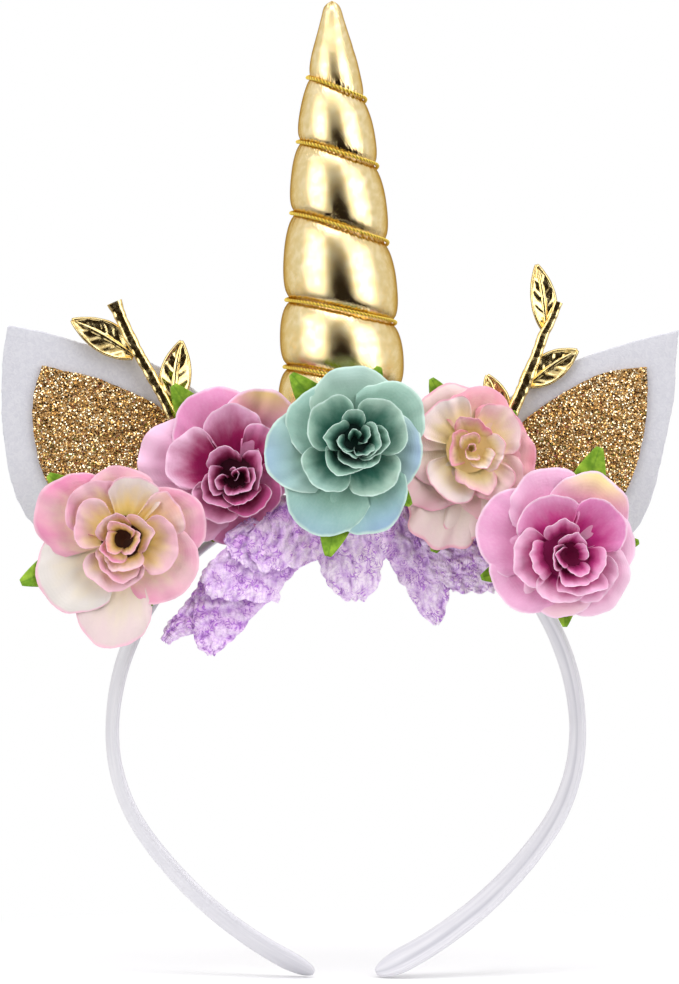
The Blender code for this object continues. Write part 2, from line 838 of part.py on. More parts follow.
def build_sprig(name, sprig_y, stem_rows, leaves, material):
    points = [point(row.x, sprig_y, row.z) for row in stem_rows]
    thickest = max(row.radius for row in stem_rows)
    radii = [row.radius / thickest for row in stem_rows]
    sprig = as_mesh(wire_object(name, points, radii, material, thickest))
    for number, leaf in enumerate(leaves, 1):
        leaf_points, faces = gilt_leaf_points(leaf, sprig_y)
        blade = mesh_object(f"{name}_leaf_{number}", leaf_points, faces, material)
        thicken(blade, LEAF_THICKNESS)
        blade = as_mesh(blade)
        PIECES.objects.unlink(blade)
        CUTTERS.objects.link(blade)
        blade.hide_render = True
        blade.display_type = "WIRE"
        join = sprig.modifiers.new(f"Leaf {number}", "BOOLEAN")
        join.operation = "UNION"
        join.object = blade


def lobe_radius(lobes, direction):
    """How far a whorl of petals reaches in a direction, in degrees."""
    best = HUB_RADIUS + LEAST_PETAL
    for lobe in lobes:
        away = abs((direction - lobe.direction + 180) % 360 - 180) / lobe.spread
        if away < 1.4:
            best = max(best, lobe.reach * math.cos(math.radians(60) * away) ** 0.5)
    return best


def whorl_object(name, rose, lobes, columns, shares, depth_at, material):
    """A whorl of petals cut from one cloth: a flat hub, and rings that follow depth_at(radius, share)."""
    points = []
    for share in (0.0, *shares):
        for column in range(columns):
            direction = 360 * column / columns
            radius = HUB_RADIUS + (lobe_radius(lobes, direction) - HUB_RADIUS) * share
            depth = depth_at(radius, share, column)
            angle = math.radians(direction)
            points.append(
                point(
                    rose.x + radius * math.cos(angle),
                    rose.hub_y - depth,
                    rose.z + radius * math.sin(angle),
                )
            )
    faces = grid_faces(len(shares) + 1, columns, closed=True)
    faces.append(tuple(range(columns))[::-1])
    return thicken(mesh_object(name, points, faces, material), CLOTH)


def cup(radius, height):
    return height * (1 - math.exp(-max(radius - HUB_RADIUS, 0) / CUP_REACH))


def build_rose(rose, petals, green):
    def outer_depth(radius, share, column):
        ripple = OUTER_RIPPLE * share**2 * math.sin(column * RIPPLE_STEP)
        return cup(radius, OUTER_CUP) - OUTER_ROLL * share**4 + ripple

    def inner_depth(radius, share, column):
        ripple = INNER_RIPPLE * share**2 * math.sin(column * RIPPLE_STEP)
        return WHORL_PITCH + cup(radius, INNER_CUP) + ripple

    whorl_object(f"{rose.name}_outer", rose, rose.outer, OUTER_COLUMNS, OUTER_RINGS, outer_depth, petals)
    whorl_object(f"{rose.name}_inner", rose, rose.inner, INNER_COLUMNS, INNER_RINGS, inner_depth, petals)
    build_heart(rose, petals)
    build_calyx(rose, green)
    build_stem(rose, green)


def build_heart(rose, material):
    """The middle petals: one strip rolled into a spiral that opens towards the front."""
    bottom = WHORL_PITCH + CLOTH / 2 + GAP
    first_throat, last_throat = HEART_THROAT
    points = []
    for level in HEART_LEVELS:
        for step in range(HEART_STEPS + 1):
            share = step / HEART_STEPS
            angle = 2 * math.pi * HEART_TURNS * share
            throat = first_throat + (last_throat - first_throat) * share
            rim = HEART_FIRST_RIM + (rose.heart - HEART_FIRST_RIM) * share
            radius = throat + (rim - throat) * level
            points.append(
                point(
                    rose.x + radius * math.cos(angle),
                    rose.hub_y - bottom - HEART_HEIGHT * level,
                    rose.z + radius * math.sin(angle),
                )
            )
    faces = grid_faces(len(HEART_LEVELS), HEART_STEPS + 1, closed=False)
    thicken(mesh_object(f"{rose.name}_heart", points, faces, material), CLOTH)


def build_calyx(rose, material):
    """Pointed green sepals of one cloth, behind the petals."""
    hub_y = rose.hub_y + WHORL_PITCH
    rows = sorted(
        (sepal.direction + edge.turn, edge.share * sepal.reach)
        for sepal in rose.sepals
        for edge in SEPAL_OUTLINE
    )
    points = []
    for share in SEPAL_RINGS:
        for direction, reach in rows:
            radius = SEPAL_HUB_RADIUS + (reach - SEPAL_HUB_RADIUS) * share
            depth = SEPAL_SLOPE * (radius - SEPAL_HUB_RADIUS)
            angle = math.radians(direction)
            points.append(
                point(rose.x + radius * math.cos(angle), hub_y - depth, rose.z + radius * math.sin(angle))
            )
    faces = grid_faces(len(SEPAL_RINGS), len(rows), closed=True)
    faces.append(tuple(range(len(rows)))[::-1])
    thicken(mesh_object(f"{rose.name}_calyx", points, faces, material), CLOTH)


def build_stem(rose, material):
    """The short stub that is glued to the felt or the horn behind."""
    front = rose.hub_y + WHORL_PITCH + CLOTH / 2 + GAP
    back = rose.seat_y - GAP
    bpy.ops.mesh.primitive_cone_add(
        vertices=STEM_SIDES,
        radius1=STEM_RADII[1] * MM,
        radius2=STEM_RADII[0] * MM,
        depth=(back - front) * MM,
        location=point(rose.x, (front + back) / 2, rose.z),
        rotation=(math.radians(90), 0, 0),
    )
    stem = bpy.context.object
    stem.name = f"{rose.name}_stem"
    stem.data.materials.append(material)
    for holder in list(stem.users_collection):
        holder.objects.unlink(stem)
    PIECES.objects.link(stem)


def build_lace(name, rows, material):
    points = []
    for number, row in enumerate(rows):
        tilt = math.radians(row.across_degrees)
        ripple = LACE_RIPPLE if number else 0.0
        for column in range(LACE_COLUMNS + 1):
            share = 2 * column / LACE_COLUMNS - 1
            wave = ripple * math.cos(math.pi * (column + number))
            points.append(
                point(
                    row.x + row.half * share * math.cos(tilt),
                    row.y + wave,
                    row.z + row.half * share * math.sin(tilt),
                )
            )
    faces = grid_faces(len(rows), LACE_COLUMNS + 1, closed=False)
    thicken(mesh_object(name, points, faces, material), LACE)


def build_headband():
    materials = make_materials()
    build_band(materials["satin"])
    build_horn(materials["gold_lame"])
    build_cord(materials["gold_cord"])
    build_ear("left", -1, LEFT_EAR, LEFT_GLITTER, materials)
    build_ear("right", 1, RIGHT_EAR, RIGHT_GLITTER, materials)
    build_sprig("sprig_left", LEFT_SPRIG_Y, LEFT_SPRIG, LEFT_SPRIG_LEAVES, materials["gilt"])
    build_sprig("sprig_right", RIGHT_SPRIG_Y, RIGHT_SPRIG, RIGHT_SPRIG_LEAVES, materials["gilt"])
    for rose, finish in zip(ROSES, ROSE_FINISHES):
        build_rose(rose, materials[finish], materials["leaf_green"])
    for name, rows in LACES.items():
        build_lace(name, rows, materials["lace"])


clear_scene()
PIECES = new_collection("unicorn_horn_headband")
CUTTERS = new_collection("cutters")
build_headband()
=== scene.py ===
# %% [markdown]
# A unicorn horn headband, dressed for a picture.
# The solids of this headband were made and measured as CAD, and this lesson gives them their cloth, foil
# and glitter. Everything is in metres in one frame: the front faces -Y, +Z is up, and the origin is where
# the crown of the head meets the band. Tables are in millimetres, and points become metres in one place.

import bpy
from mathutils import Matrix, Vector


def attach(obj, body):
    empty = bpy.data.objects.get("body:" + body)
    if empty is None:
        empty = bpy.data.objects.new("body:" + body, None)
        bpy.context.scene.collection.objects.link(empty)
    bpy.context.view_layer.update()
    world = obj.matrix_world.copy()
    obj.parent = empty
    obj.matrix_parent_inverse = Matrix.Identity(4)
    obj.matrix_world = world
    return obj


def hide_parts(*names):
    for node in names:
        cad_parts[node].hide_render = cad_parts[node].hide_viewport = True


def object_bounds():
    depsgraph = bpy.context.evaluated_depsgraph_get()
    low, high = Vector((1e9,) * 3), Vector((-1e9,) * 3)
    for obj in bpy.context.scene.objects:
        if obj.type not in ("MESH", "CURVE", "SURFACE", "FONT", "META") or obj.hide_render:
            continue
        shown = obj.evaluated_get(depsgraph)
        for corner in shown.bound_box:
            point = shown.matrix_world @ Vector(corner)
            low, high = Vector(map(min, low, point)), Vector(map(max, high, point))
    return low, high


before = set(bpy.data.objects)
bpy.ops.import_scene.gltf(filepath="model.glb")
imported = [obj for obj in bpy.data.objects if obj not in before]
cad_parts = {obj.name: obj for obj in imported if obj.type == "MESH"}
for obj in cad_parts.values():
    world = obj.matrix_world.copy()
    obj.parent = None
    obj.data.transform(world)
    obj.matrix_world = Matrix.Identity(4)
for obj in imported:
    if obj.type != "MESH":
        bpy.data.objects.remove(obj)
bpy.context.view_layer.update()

# %% Tools for the whole lesson
import math
from collections import namedtuple

import bmesh
import bpy
import numpy as np
from mathutils import Matrix, Vector

MM = 0.001
print("one millimetre is", MM, "of Blender's units")

# %% [markdown]
# Camera. The photograph is taken from straight in front with a long lens, so the headband hardly narrows
# with distance. A long lens is made by standing far away and narrowing the view: here 1.15 metres away,
# with a sensor that takes in 256 millimetres from top to bottom at the headband.

# %% Place the camera
VIEW_DISTANCE = 1.150
VIEW_HEIGHT = 0.25584

camera_data = bpy.data.cameras.new("camera")
camera_data.sensor_width = 36.0
camera_data.lens = 36.0 * VIEW_DISTANCE / VIEW_HEIGHT
camera_data.clip_start = 0.01
camera = bpy.data.objects.new("camera", camera_data)
camera.location = (-0.00143, -VIEW_DISTANCE, 0.00286)
camera.rotation_euler = (math.radians(90), 0, 0)
bpy.context.scene.collection.objects.link(camera)
bpy.context.scene.camera = camera
bpy.context.scene.view_settings.view_transform = "Standard"
print("lens:", round(camera_data.lens, 1))


# %% [markdown]
# Small helpers for node trees. Every finish below is a tree of nodes. It could be wired by hand in the
# shader editor, but a few small functions keep the trees short and easy to read: they place a node, join or
# set a socket, do a sum, mix two colours, or fetch what a point of the mesh knows about itself.

# %% Node helpers
def join(tree, value, socket):
    """Links a socket to another one, or gives it a plain value."""
    if isinstance(value, bpy.types.NodeSocket):
        tree.links.new(value, socket)
    else:
        socket.default_value = value


def put(tree, kind, sockets=None, **settings):
    """A new node with its settings, and its sockets joined or set by name."""
    node = tree.nodes.new(kind)
    for key, value in settings.items():
        setattr(node, key, value)
    for key, value in (sockets or {}).items():
        join(tree, value, node.inputs[key])
    return node


def reckon(tree, operation, *values):
    """A sum on numbers, such as MULTIPLY."""
    node = tree.nodes.new("ShaderNodeMath")
    node.operation = operation
    for place, value in enumerate(values):
        join(tree, value, node.inputs[place])
    return node.outputs[0]


def dye(tree, amount, first, second):
    """Two colours mixed by an amount from 0 to 1."""
    node = tree.nodes.new("ShaderNodeMix")
    node.data_type = "RGBA"
    join(tree, amount, node.inputs[0])
    join(tree, first, node.inputs[6])
    join(tree, second, node.inputs[7])
    return node.outputs[2]


def ease(tree, value, low, high, to_low=0.0, to_high=1.0):
    """A value moved smoothly from one range to another."""
    node = put(tree, "ShaderNodeMapRange", interpolation_type="SMOOTHSTEP")
    for key, number in zip(("Value", "From Min", "From Max", "To Min", "To Max"),
                           (value, low, high, to_low, to_high)):
        join(tree, number, node.inputs[key])
    return node.outputs["Result"]


# %% What a point knows about itself
def kept(tree, name):
    """A number that each point of a mesh carries."""
    return put(tree, "ShaderNodeAttribute", attribute_name=name).outputs["Fac"]


def on_cloth(tree):
    """A point's place on the piece's own flat map, in millimetres."""
    return put(tree, "ShaderNodeUVMap", uv_map="cloth").outputs["UV"]


def on_object(tree):
    """A point's place in the object, in metres."""
    return put(tree, "ShaderNodeTexCoord").outputs["Object"]


def cloud(tree, place, scale, detail, distortion=0.0):
    """A soft random pattern, from 0 to 1."""
    sockets = {"Vector": place, "Scale": scale, "Detail": detail, "Distortion": distortion}
    return put(tree, "ShaderNodeTexNoise", sockets).outputs["Fac"]


def shade(red, green, blue):
    """A colour as a screen shows it, 0 to 255, in the linear numbers that shaders use."""
    parts = [number / 255 for number in (red, green, blue)]
    linear = [part / 12.92 if part < 0.04 else ((part + 0.055) / 1.055) ** 2.4 for part in parts]
    return (*linear, 1.0)


# %% Effects and finishes
def effect(name, takes, gives):
    """An empty shader group with named sockets: (tree, its inputs' values, its outputs' ends)."""
    tree = bpy.data.node_groups.new(name, "ShaderNodeTree")
    for label, kind, value in takes:
        socket = tree.interface.new_socket(label, in_out="INPUT", socket_type="NodeSocket" + kind)
        socket.default_value = value
    for label, kind in gives:
        tree.interface.new_socket(label, in_out="OUTPUT", socket_type="NodeSocket" + kind)
    return tree, tree.nodes.new("NodeGroupInput").outputs, tree.nodes.new("NodeGroupOutput").inputs


def use(tree, group, **values):
    """An effect placed in a material, its inputs named with _ for a space."""
    node = tree.nodes.new("ShaderNodeGroup")
    node.node_tree = group
    for key, value in values.items():
        join(tree, value, node.inputs[key.replace("_", " ")])
    return node.outputs


def finish(name, **constants):
    """A new material with its shader's plain sockets set: (material, tree, shader)."""
    material = bpy.data.materials.new(name)
    material.use_nodes = True
    shader = material.node_tree.nodes["Principled BSDF"]
    for key, value in constants.items():
        shader.inputs[key.replace("_", " ")].default_value = value
    print("finish:", name)
    return material, material.node_tree, shader


def raise_surface(tree, shader, height, distance, strength=1.0):
    """Gives a shader small relief from a height, without moving the mesh."""
    bump = put(tree, "ShaderNodeBump", {"Height": height, "Distance": distance, "Strength": strength})
    tree.links.new(bump.outputs["Normal"], shader.inputs["Normal"])


# %% [markdown]
# Weave. Satin and foil cloth are both woven, and threads of a third of a millimetre to nearly a whole one
# show as tiny dots that break a highlight up. The pattern could be an image, but two waves that cross on
# the piece's own UV map, which is laid out in millimetres, give the same dots at any zoom.

# %% Build the weave effect
weave, takes, gives = effect(
    "weave",
    [("Thread", "Float", 0.4), ("Slub", "Float", 0.3)],
    [("Height", "Float"), ("Thin", "Float")],
)
WANDER_MM = 0.7
cloth_map = on_cloth(weave)
wander = put(weave, "ShaderNodeTexNoise", {"Vector": cloth_map, "Scale": 1.4, "Detail": 1.0})
wander = wander.outputs["Color"]
wander = put(weave, "ShaderNodeVectorMath", {0: wander, "Scale": WANDER_MM}, operation="SCALE").outputs[0]
uneven_map = put(weave, "ShaderNodeVectorMath", {0: cloth_map, 1: wander}, operation="ADD").outputs[0]
across = put(weave, "ShaderNodeSeparateXYZ", {"Vector": uneven_map}).outputs
pace = reckon(weave, "DIVIDE", 2 * math.pi, takes["Thread"])
warp = reckon(weave, "SINE", reckon(weave, "MULTIPLY", across["X"], pace))
weft = reckon(weave, "SINE", reckon(weave, "MULTIPLY", across["Y"], pace))
crossing = reckon(weave, "MULTIPLY", warp, weft)
uneven = reckon(weave, "MULTIPLY", cloud(weave, cloth_map, 0.9, 3.0), takes["Slub"])
join(weave, reckon(weave, "ADD", reckon(weave, "MULTIPLY", crossing, 0.5), uneven), gives["Height"])
join(weave, ease(weave, crossing, -0.2, 0.8), gives["Thin"])
print("effect:", weave.name)


# %% [markdown]
# Mesh helpers. Cloth is easiest to think of as a grid: rows along the piece and columns across it. These
# helpers turn numpy grids into one mesh, with a UV map in millimetres and numbers that the dyes and the
# painted shade read.

# %% Smooth random shapes
def waver(at, seed, waves=5):
    """A smooth random wave between about -1 and 1, the same on each run for the same seed."""
    dice = np.random.default_rng(seed)
    total = 0 * at
    for wave in range(1, waves + 1):
        total = total + dice.uniform(0.6, 1.0) * np.sin(at * wave + dice.uniform(0, 6.28)) / wave**0.6
    return total / 2.2


def lumps(u, v, seed, waves=9):
    """Smooth random hills in two directions, between about -1 and 1, one or two to each unit of u and v."""
    dice = np.random.default_rng(seed)
    total = 0 * (u + v)
    for wave in range(waves):
        way = dice.uniform(0, 2 * math.pi)
        pace = dice.uniform(3.0, 8.0)
        total = total + np.sin(pace * (u * math.cos(way) + v * math.sin(way)) + dice.uniform(0, 6.28))
    return total / waves**0.5 / 1.4


def smooth_between(at, places, values):
    """A table's value at a place, along a curve through its rows."""
    places, values = np.asarray(places, float), np.asarray(values, float)
    slopes = np.gradient(values, places)
    at = np.clip(at, places[0], places[-1])
    row = np.clip(np.searchsorted(places, at, side="right") - 1, 0, len(places) - 2)
    width = places[row + 1] - places[row]
    t = (at - places[row]) / width
    return (
        (2 * t**3 - 3 * t**2 + 1) * values[row]
        + (t**3 - 2 * t**2 + t) * width * slopes[row]
        + (3 * t**2 - 2 * t**3) * values[row + 1]
        + (t**3 - t**2) * width * slopes[row + 1]
    )


# %% Grids that become one mesh
def quads(rows, columns):
    """Corner numbers of the faces of a grid, its points stored row by row."""
    corner = np.arange(rows - 1)[:, None] * columns + np.arange(columns - 1)[None, :]
    return np.stack([corner, corner + 1, corner + columns + 1, corner + columns], axis=-1).reshape(-1, 4)


class Sheaf:
    """Grids of points in millimetres that together become one piece."""

    def __init__(self):
        self.points = []
        self.faces = []
        self.map = []
        self.numbers = {}
        self.count = 0

    def add(self, x, y, z, map_x, map_y, **numbers):
        x, y, z, map_x, map_y = np.broadcast_arrays(x, y, z, map_x, map_y)
        self.points.append(np.stack([x, y, z], axis=-1).reshape(-1, 3))
        self.map.append(np.stack([map_x, map_y], axis=-1).reshape(-1, 2))
        self.faces.append(quads(*x.shape) + self.count)
        for key, number in numbers.items():
            self.numbers.setdefault(key, []).append(np.broadcast_to(number, x.shape).ravel())
        self.count += x.size

    def area(self):
        """Square metres of all the grids' faces."""
        corners = (np.concatenate(self.points) * MM)[np.concatenate(self.faces)]
        across = np.cross(corners[:, 2] - corners[:, 0], corners[:, 3] - corners[:, 1])
        return float(np.linalg.norm(across, axis=1).sum() / 2)

    def make(self, name, material):
        """The object, with its map and its points' numbers."""
        mesh = bpy.data.meshes.new(name)
        points = np.concatenate(self.points) * MM
        mesh.from_pydata(points.tolist(), [], np.concatenate(self.faces).tolist())
        corner = np.empty(len(mesh.loops), dtype=np.int32)
        mesh.loops.foreach_get("vertex_index", corner)
        flat = np.concatenate(self.map)[corner].astype(np.float32)
        mesh.uv_layers.new(name="cloth").data.foreach_set("uv", flat.ravel())
        for key, parts in self.numbers.items():
            made = mesh.attributes.new(key, "FLOAT", "POINT")
            made.data.foreach_set("value", np.concatenate(parts).astype(np.float32))
        mesh.materials.append(material)
        mesh.shade_smooth()
        return show(name, mesh)


# %% Finish a mesh
def tidy_mesh(mesh, weld, close=False):
    """Merges points that meet, closes what is still open if asked, and turns faces outwards."""
    work = bmesh.new()
    work.from_mesh(mesh)
    bmesh.ops.remove_doubles(work, verts=work.verts, dist=weld * MM)
    bmesh.ops.dissolve_degenerate(work, edges=work.edges, dist=1e-7)
    if close:
        bmesh.ops.holes_fill(work, edges=[edge for edge in work.edges if edge.is_boundary], sides=0)
    bmesh.ops.recalc_face_normals(work, faces=work.faces)
    work.to_mesh(mesh)
    work.free()


def show(name, mesh):
    """A mesh as an object in the scene."""
    made = bpy.data.objects.new(name, mesh)
    bpy.context.scene.collection.objects.link(made)
    return made


def thicken(piece, thickness):
    """Gives a sheet its thickness, half to each side."""
    wall = piece.modifiers.new("thickness", "SOLIDIFY")
    wall.thickness = thickness * MM
    wall.offset = 0.0
    return piece


def as_plain_mesh(piece, name):
    """The piece with its modifiers worked out, as a new plain mesh in its place."""
    graph = bpy.context.evaluated_depsgraph_get()
    mesh = bpy.data.meshes.new_from_object(piece.evaluated_get(graph))
    matrix = piece.matrix_world.copy()
    bpy.data.objects.remove(piece)
    mesh.transform(matrix)
    return show(name, mesh)


# %% [markdown]
# Band. The hoop is a plastic strip wrapped in white satin ribbon. It runs in three arcs on each side, and
# its arms are twisted a little, so that the front shows the narrow edge and part of the inside. It could be
# a curve with a bevel, but a section swept here keeps the twist and lets the ribbon have a fold and a
# seam line of its own.

# %% Satin finish
satin, tree, shader = finish("satin", Roughness=0.38, Sheen_Weight=0.25, Specular_IOR_Level=0.4)
threads = use(tree, weave, Thread=0.34, Slub=0.5)
stretched = put(tree, "ShaderNodeMapping", {"Vector": on_cloth(tree), "Scale": (0.02, 0.5, 1.0)})
streaks = cloud(tree, stretched.outputs["Vector"], 3.0, 5.0)
white = dye(tree, ease(tree, streaks, 0.35, 0.7), shade(205, 204, 211), shade(218, 217, 222))
white = dye(tree, reckon(tree, "MULTIPLY", kept(tree, "seam"), 0.5), white, shade(158, 158, 169))
join(tree, white, shader.inputs["Base Color"])
join(tree, ease(tree, streaks, 0.3, 0.7, 0.34, 0.5), shader.inputs["Roughness"])
raise_surface(tree, shader, threads["Height"], 0.00004, 0.5)

# %% The band's measures
BAND_WIDE = 10.0
BAND_THICK = 1.8
HOOP_MIDDLE = BAND_THICK / 2 - 60.5
Arc = namedtuple("Arc", "radius degrees")
BAND_ARCS = [Arc(60.5, 90), Arc(46.0, 35), Arc(105.0, 31.5)]
TWIST_AT = [0, 35, 55, 68, 95, 130, 180]
TWIST_DEGREES = [0, 3, 14, 20, 18.5, 26, 34]
BAND_TIP = 9.0


def band_line(along):
    """(x, z, outward angle) of the band's middle, this far from the crown on its right half."""
    x, z, turn = 0.0, HOOP_MIDDLE + BAND_ARCS[0].radius, 0.0
    for arc in BAND_ARCS:
        swept = min(along / arc.radius, math.radians(arc.degrees))
        x += arc.radius * (math.sin(turn + swept) - math.sin(turn))
        z += arc.radius * (math.cos(turn + swept) - math.cos(turn))
        turn += swept
        along -= swept * arc.radius
    return x, z, turn


half_band = sum(arc.radius * math.radians(arc.degrees) for arc in BAND_ARCS)
print("half of the band is", round(half_band, 1), "mm long")

# %% Sweep the band
SEAM_FROM_MIDDLE = 2.2
SEAM_WIDE = 0.35
SEAM_DEEP = 0.12
SECTION_ROUND = 3.6
stations = np.linspace(-1, 1, 361)
stations = np.sign(stations) * (1 - (1 - np.abs(stations)) ** 1.15) * half_band
round_section = np.radians(np.linspace(0, 360, 33))
rows = []
for along in stations:
    x, z, turn = band_line(abs(along))
    side = -1 if along < 0 else 1
    from_tip = half_band - abs(along)
    narrow = math.sqrt(max(1 - max(1 - from_tip / BAND_TIP, 0) ** 2 * 0.97, 0.0))
    section_x = np.sign(np.cos(round_section)) * np.abs(np.cos(round_section)) ** 0.45
    section_y = np.sign(np.sin(round_section)) * np.abs(np.sin(round_section)) ** 0.6
    wide = section_x * (BAND_WIDE / 2 - 0.25) * narrow
    seam = np.exp(-((section_x * 4.7 + SEAM_FROM_MIDDLE) / SEAM_WIDE) ** 2) * (section_y < -0.5)
    pleat = 0.06 * waver(along / 9, 11) + 0.05 * waver(along / 4 + section_x, 12)
    out = section_y * (BAND_THICK / 2 * (0.4 + 0.6 * narrow)) + pleat * section_y - SEAM_DEEP * seam
    twist = math.radians(float(smooth_between(abs(along), TWIST_AT, TWIST_DEGREES))) * -side
    depth = wide * math.cos(twist) - out * math.sin(twist)
    radial = out * math.cos(twist) + wide * math.sin(twist)
    rows.append((side * (x + radial * math.sin(turn)), depth, z + radial * math.cos(turn), seam))
swept = np.array(rows)
band_cloth = Sheaf()
band_cloth.add(
    swept[:, 0],
    swept[:, 1],
    swept[:, 2],
    stations[:, None],
    round_section[None, :] * SECTION_ROUND,
    seam=swept[:, 3],
)
band = band_cloth.make("band_satin", satin)
tidy_mesh(band.data, 0.01, close=True)
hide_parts("band")
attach(band, "root")
print("band:", len(band.data.polygons), "faces")

# %% [markdown]
# Horn. The real horn is a cone of gold foil cloth stuffed with wadding, and a cord that is pulled into it
# in a spiral makes the fat turns. A plain cone with a screw modifier would give even rings, so here the
# grid itself follows the spiral: each row of points runs along the groove, and the wadding's bulge is a
# rounded profile between one groove and the next, with small gathers where the cloth is drawn in.

# %% Foil cloth finish
foil, tree, shader = finish("gold_lame", Metallic=1.0, Specular_Tint=shade(232, 196, 120))
threads = use(tree, weave, Thread=0.86, Slub=0.2)
rubbed = cloud(tree, on_cloth(tree), 0.35, 4.0)
gold = dye(tree, ease(tree, rubbed, 0.35, 0.7), shade(238, 214, 156), shade(247, 229, 182))
# Painted shade: the foil turns brown towards the bottom of each groove, where the cord pulls it in.
gold = dye(tree, reckon(tree, "MULTIPLY", kept(tree, "groove"), 0.55), gold, shade(196, 140, 58))
join(tree, gold, shader.inputs["Base Color"])
join(tree, ease(tree, threads["Thin"], 0.0, 1.0, 0.13, 0.07), shader.inputs["Roughness"])
raise_surface(tree, shader, threads["Height"], 0.000034, 1.0)

# %% The horn's measures
HORN_BASE = 2.2
HORN_TOP = 130.6
HORN_LEAN = -3.4
GROOVE = 0.20
TURN_AT = [-1.2, 0, 1, 2, 3, 4, 5, 6]
TURN_HEIGHT = [130.6, 110.6, 93.9, 75.4, 52.8, 35.4, 18.0, 2.2]
GIRTH_BELOW_TIP = [0, 0.4, 1.4, 4.2, 7.7, 13.9, 19.5, 30, 48, 67, 86, 101, 114, 124, 129]
GIRTH_RADIUS = [0, 1.3, 2.2, 3.1, 4.1, 6.0, 7.3, 9.7, 12.5, 14.7, 16.1, 16.9, 17.2, 17.0, 15.8]


def winding(angle):
    """Turns of the groove gone by at an angle round the horn, from the left side over the front."""
    # A cord that is pulled in by hand doesn't climb evenly, so two small waves bend each turn.
    turns = angle / (2 * np.pi)
    whole = np.floor(turns)
    inside = angle - whole * 2 * np.pi
    return whole + inside / (2 * np.pi) - 0.08 * (1 - np.cos(inside)) - 0.05 * np.sin(2 * inside)


def horn_place(angle, radius, z):
    """(x, y, z) of a point round the horn's axis, which leans a little to the left at its tip."""
    lean = HORN_LEAN * (z - HORN_BASE) / (HORN_TOP - HORN_BASE)
    return lean - radius * np.cos(angle), -radius * np.sin(angle), z


def horn_girth(z):
    """The horn's radius at a height."""
    return smooth_between(HORN_TOP - z, GIRTH_BELOW_TIP, GIRTH_RADIUS)


print("horn:", round(HORN_TOP - HORN_BASE, 1), "mm high")

# %% Lay the horn's cloth along the spiral
HORN_ROWS = 14
HORN_COLUMNS = 150
SMOOTH_TIP = -0.5
row_turn = np.arange(-3 * HORN_ROWS, 6 * HORN_ROWS + 1)[:, None] / HORN_ROWS
angle = np.linspace(0, 2 * np.pi, HORN_COLUMNS + 1)[None, :]
turn = np.clip(row_turn + winding(angle), TURN_AT[0], TURN_AT[-1])
whole = np.floor(turn - winding(angle) + 1e-9)
past = turn - winding(angle) - whole
near = np.clip(np.minimum(past, 1 - past) / 0.5, 0, 1)
near = np.where(turn > SMOOTH_TIP, near, 1.0)
groove = 1 - (1 - (1 - near) ** 2.15) ** 0.5
z = np.interp(turn, TURN_AT, TURN_HEIGHT)
girth = horn_girth(z)
running = 2 * np.pi * (whole + (past > 0.5)) + angle
slack = 0.12 * waver(running * 2 + past * 3, 23, 3) * np.sin(np.pi * past)
drawn_in = 0.16 * np.exp(-near * 6.0) * waver(running * 11, 22, 3)
radius = girth * (1 - GROOVE * groove) - 0.25 * (1 - groove) + (slack + drawn_in) * np.clip(girth / 8, 0, 1)
x, y, z = horn_place(angle, radius, z)
sewn = (near < 0.08) | (turn <= TURN_AT[0] + 0.25) | (turn >= TURN_AT[-1] - 0.05)
horn_cloth = Sheaf()
horn_cloth.add(x, y, z, angle * girth, -z, near=near, running=running, sewn=sewn * 1.0)
horn = horn_cloth.make("horn_cover", foil)
tidy_mesh(horn.data, 0.012, close=True)
print("cover before stuffing:", len(horn.data.vertices), "points")


# %% [markdown]
# Stuffing. Wadding presses outwards evenly while the cord holds the cover in, and that pull makes the small
# creases beside the groove. Cloth with pressure does the same: the rows under the cord are pinned, gravity
# is off, and 16 frames are enough. The cover is ten times larger while it moves, because the solver is
# tuned to things about a metre in size, and no point may end more than a millimetre from where it started.

# %% Read a mesh as numbers
def read_numbers(mesh, name):
    """The number of this name that each point carries."""
    values = np.empty(len(mesh.vertices), dtype=np.float32)
    mesh.attributes[name].data.foreach_get("value", values)
    return values


def read_points(mesh):
    """Every point's place, one row each."""
    points = np.empty(len(mesh.vertices) * 3, dtype=np.float32)
    mesh.vertices.foreach_get("co", points)
    return points.reshape(-1, 3)


# %% Stuff the horn
SOLVER_SCALE = 10.0


def stuff(piece, pinned, frames, pressure, most):
    """Inflates a closed cover, held at its pinned points, and writes the result into its mesh."""
    start = read_points(piece.data)
    piece.data.transform(Matrix.Scale(SOLVER_SCALE, 4))
    held = piece.vertex_groups.new(name="sewn")
    held.add(np.flatnonzero(pinned).tolist(), 1.0, "REPLACE")
    cloth = piece.modifiers.new("cloth", "CLOTH")
    cloth.settings.quality = 6
    cloth.settings.mass = 0.2
    cloth.settings.tension_stiffness = 60
    cloth.settings.compression_stiffness = 60
    cloth.settings.shear_stiffness = 20
    cloth.settings.bending_stiffness = 0.3
    cloth.settings.vertex_group_mass = "sewn"
    cloth.settings.use_pressure = True
    cloth.settings.uniform_pressure_force = pressure
    cloth.settings.effector_weights.gravity = 0.0
    cloth.collision_settings.use_collision = False
    cloth.point_cache.frame_end = frames
    for frame_number in range(1, frames + 1):
        bpy.context.scene.frame_set(frame_number)
    graph = bpy.context.evaluated_depsgraph_get()
    blown = read_points(piece.evaluated_get(graph).data) / SOLVER_SCALE
    piece.modifiers.remove(cloth)
    piece.vertex_groups.remove(held)
    bpy.context.scene.frame_set(1)
    moved = blown - start
    far = np.linalg.norm(moved, axis=1)
    moved *= np.minimum(1.0, most * MM / np.maximum(far, 1e-9))[:, None]
    piece.data.vertices.foreach_set("co", (start + moved).ravel())
    piece.data.update()
    return far / MM


far = stuff(horn, read_numbers(horn.data, "sewn") > 0.5, frames=16, pressure=4.0, most=1.0)
print("cover moved by", round(float(np.median(far)), 2), "mm, at most", round(float(far.max()), 2))

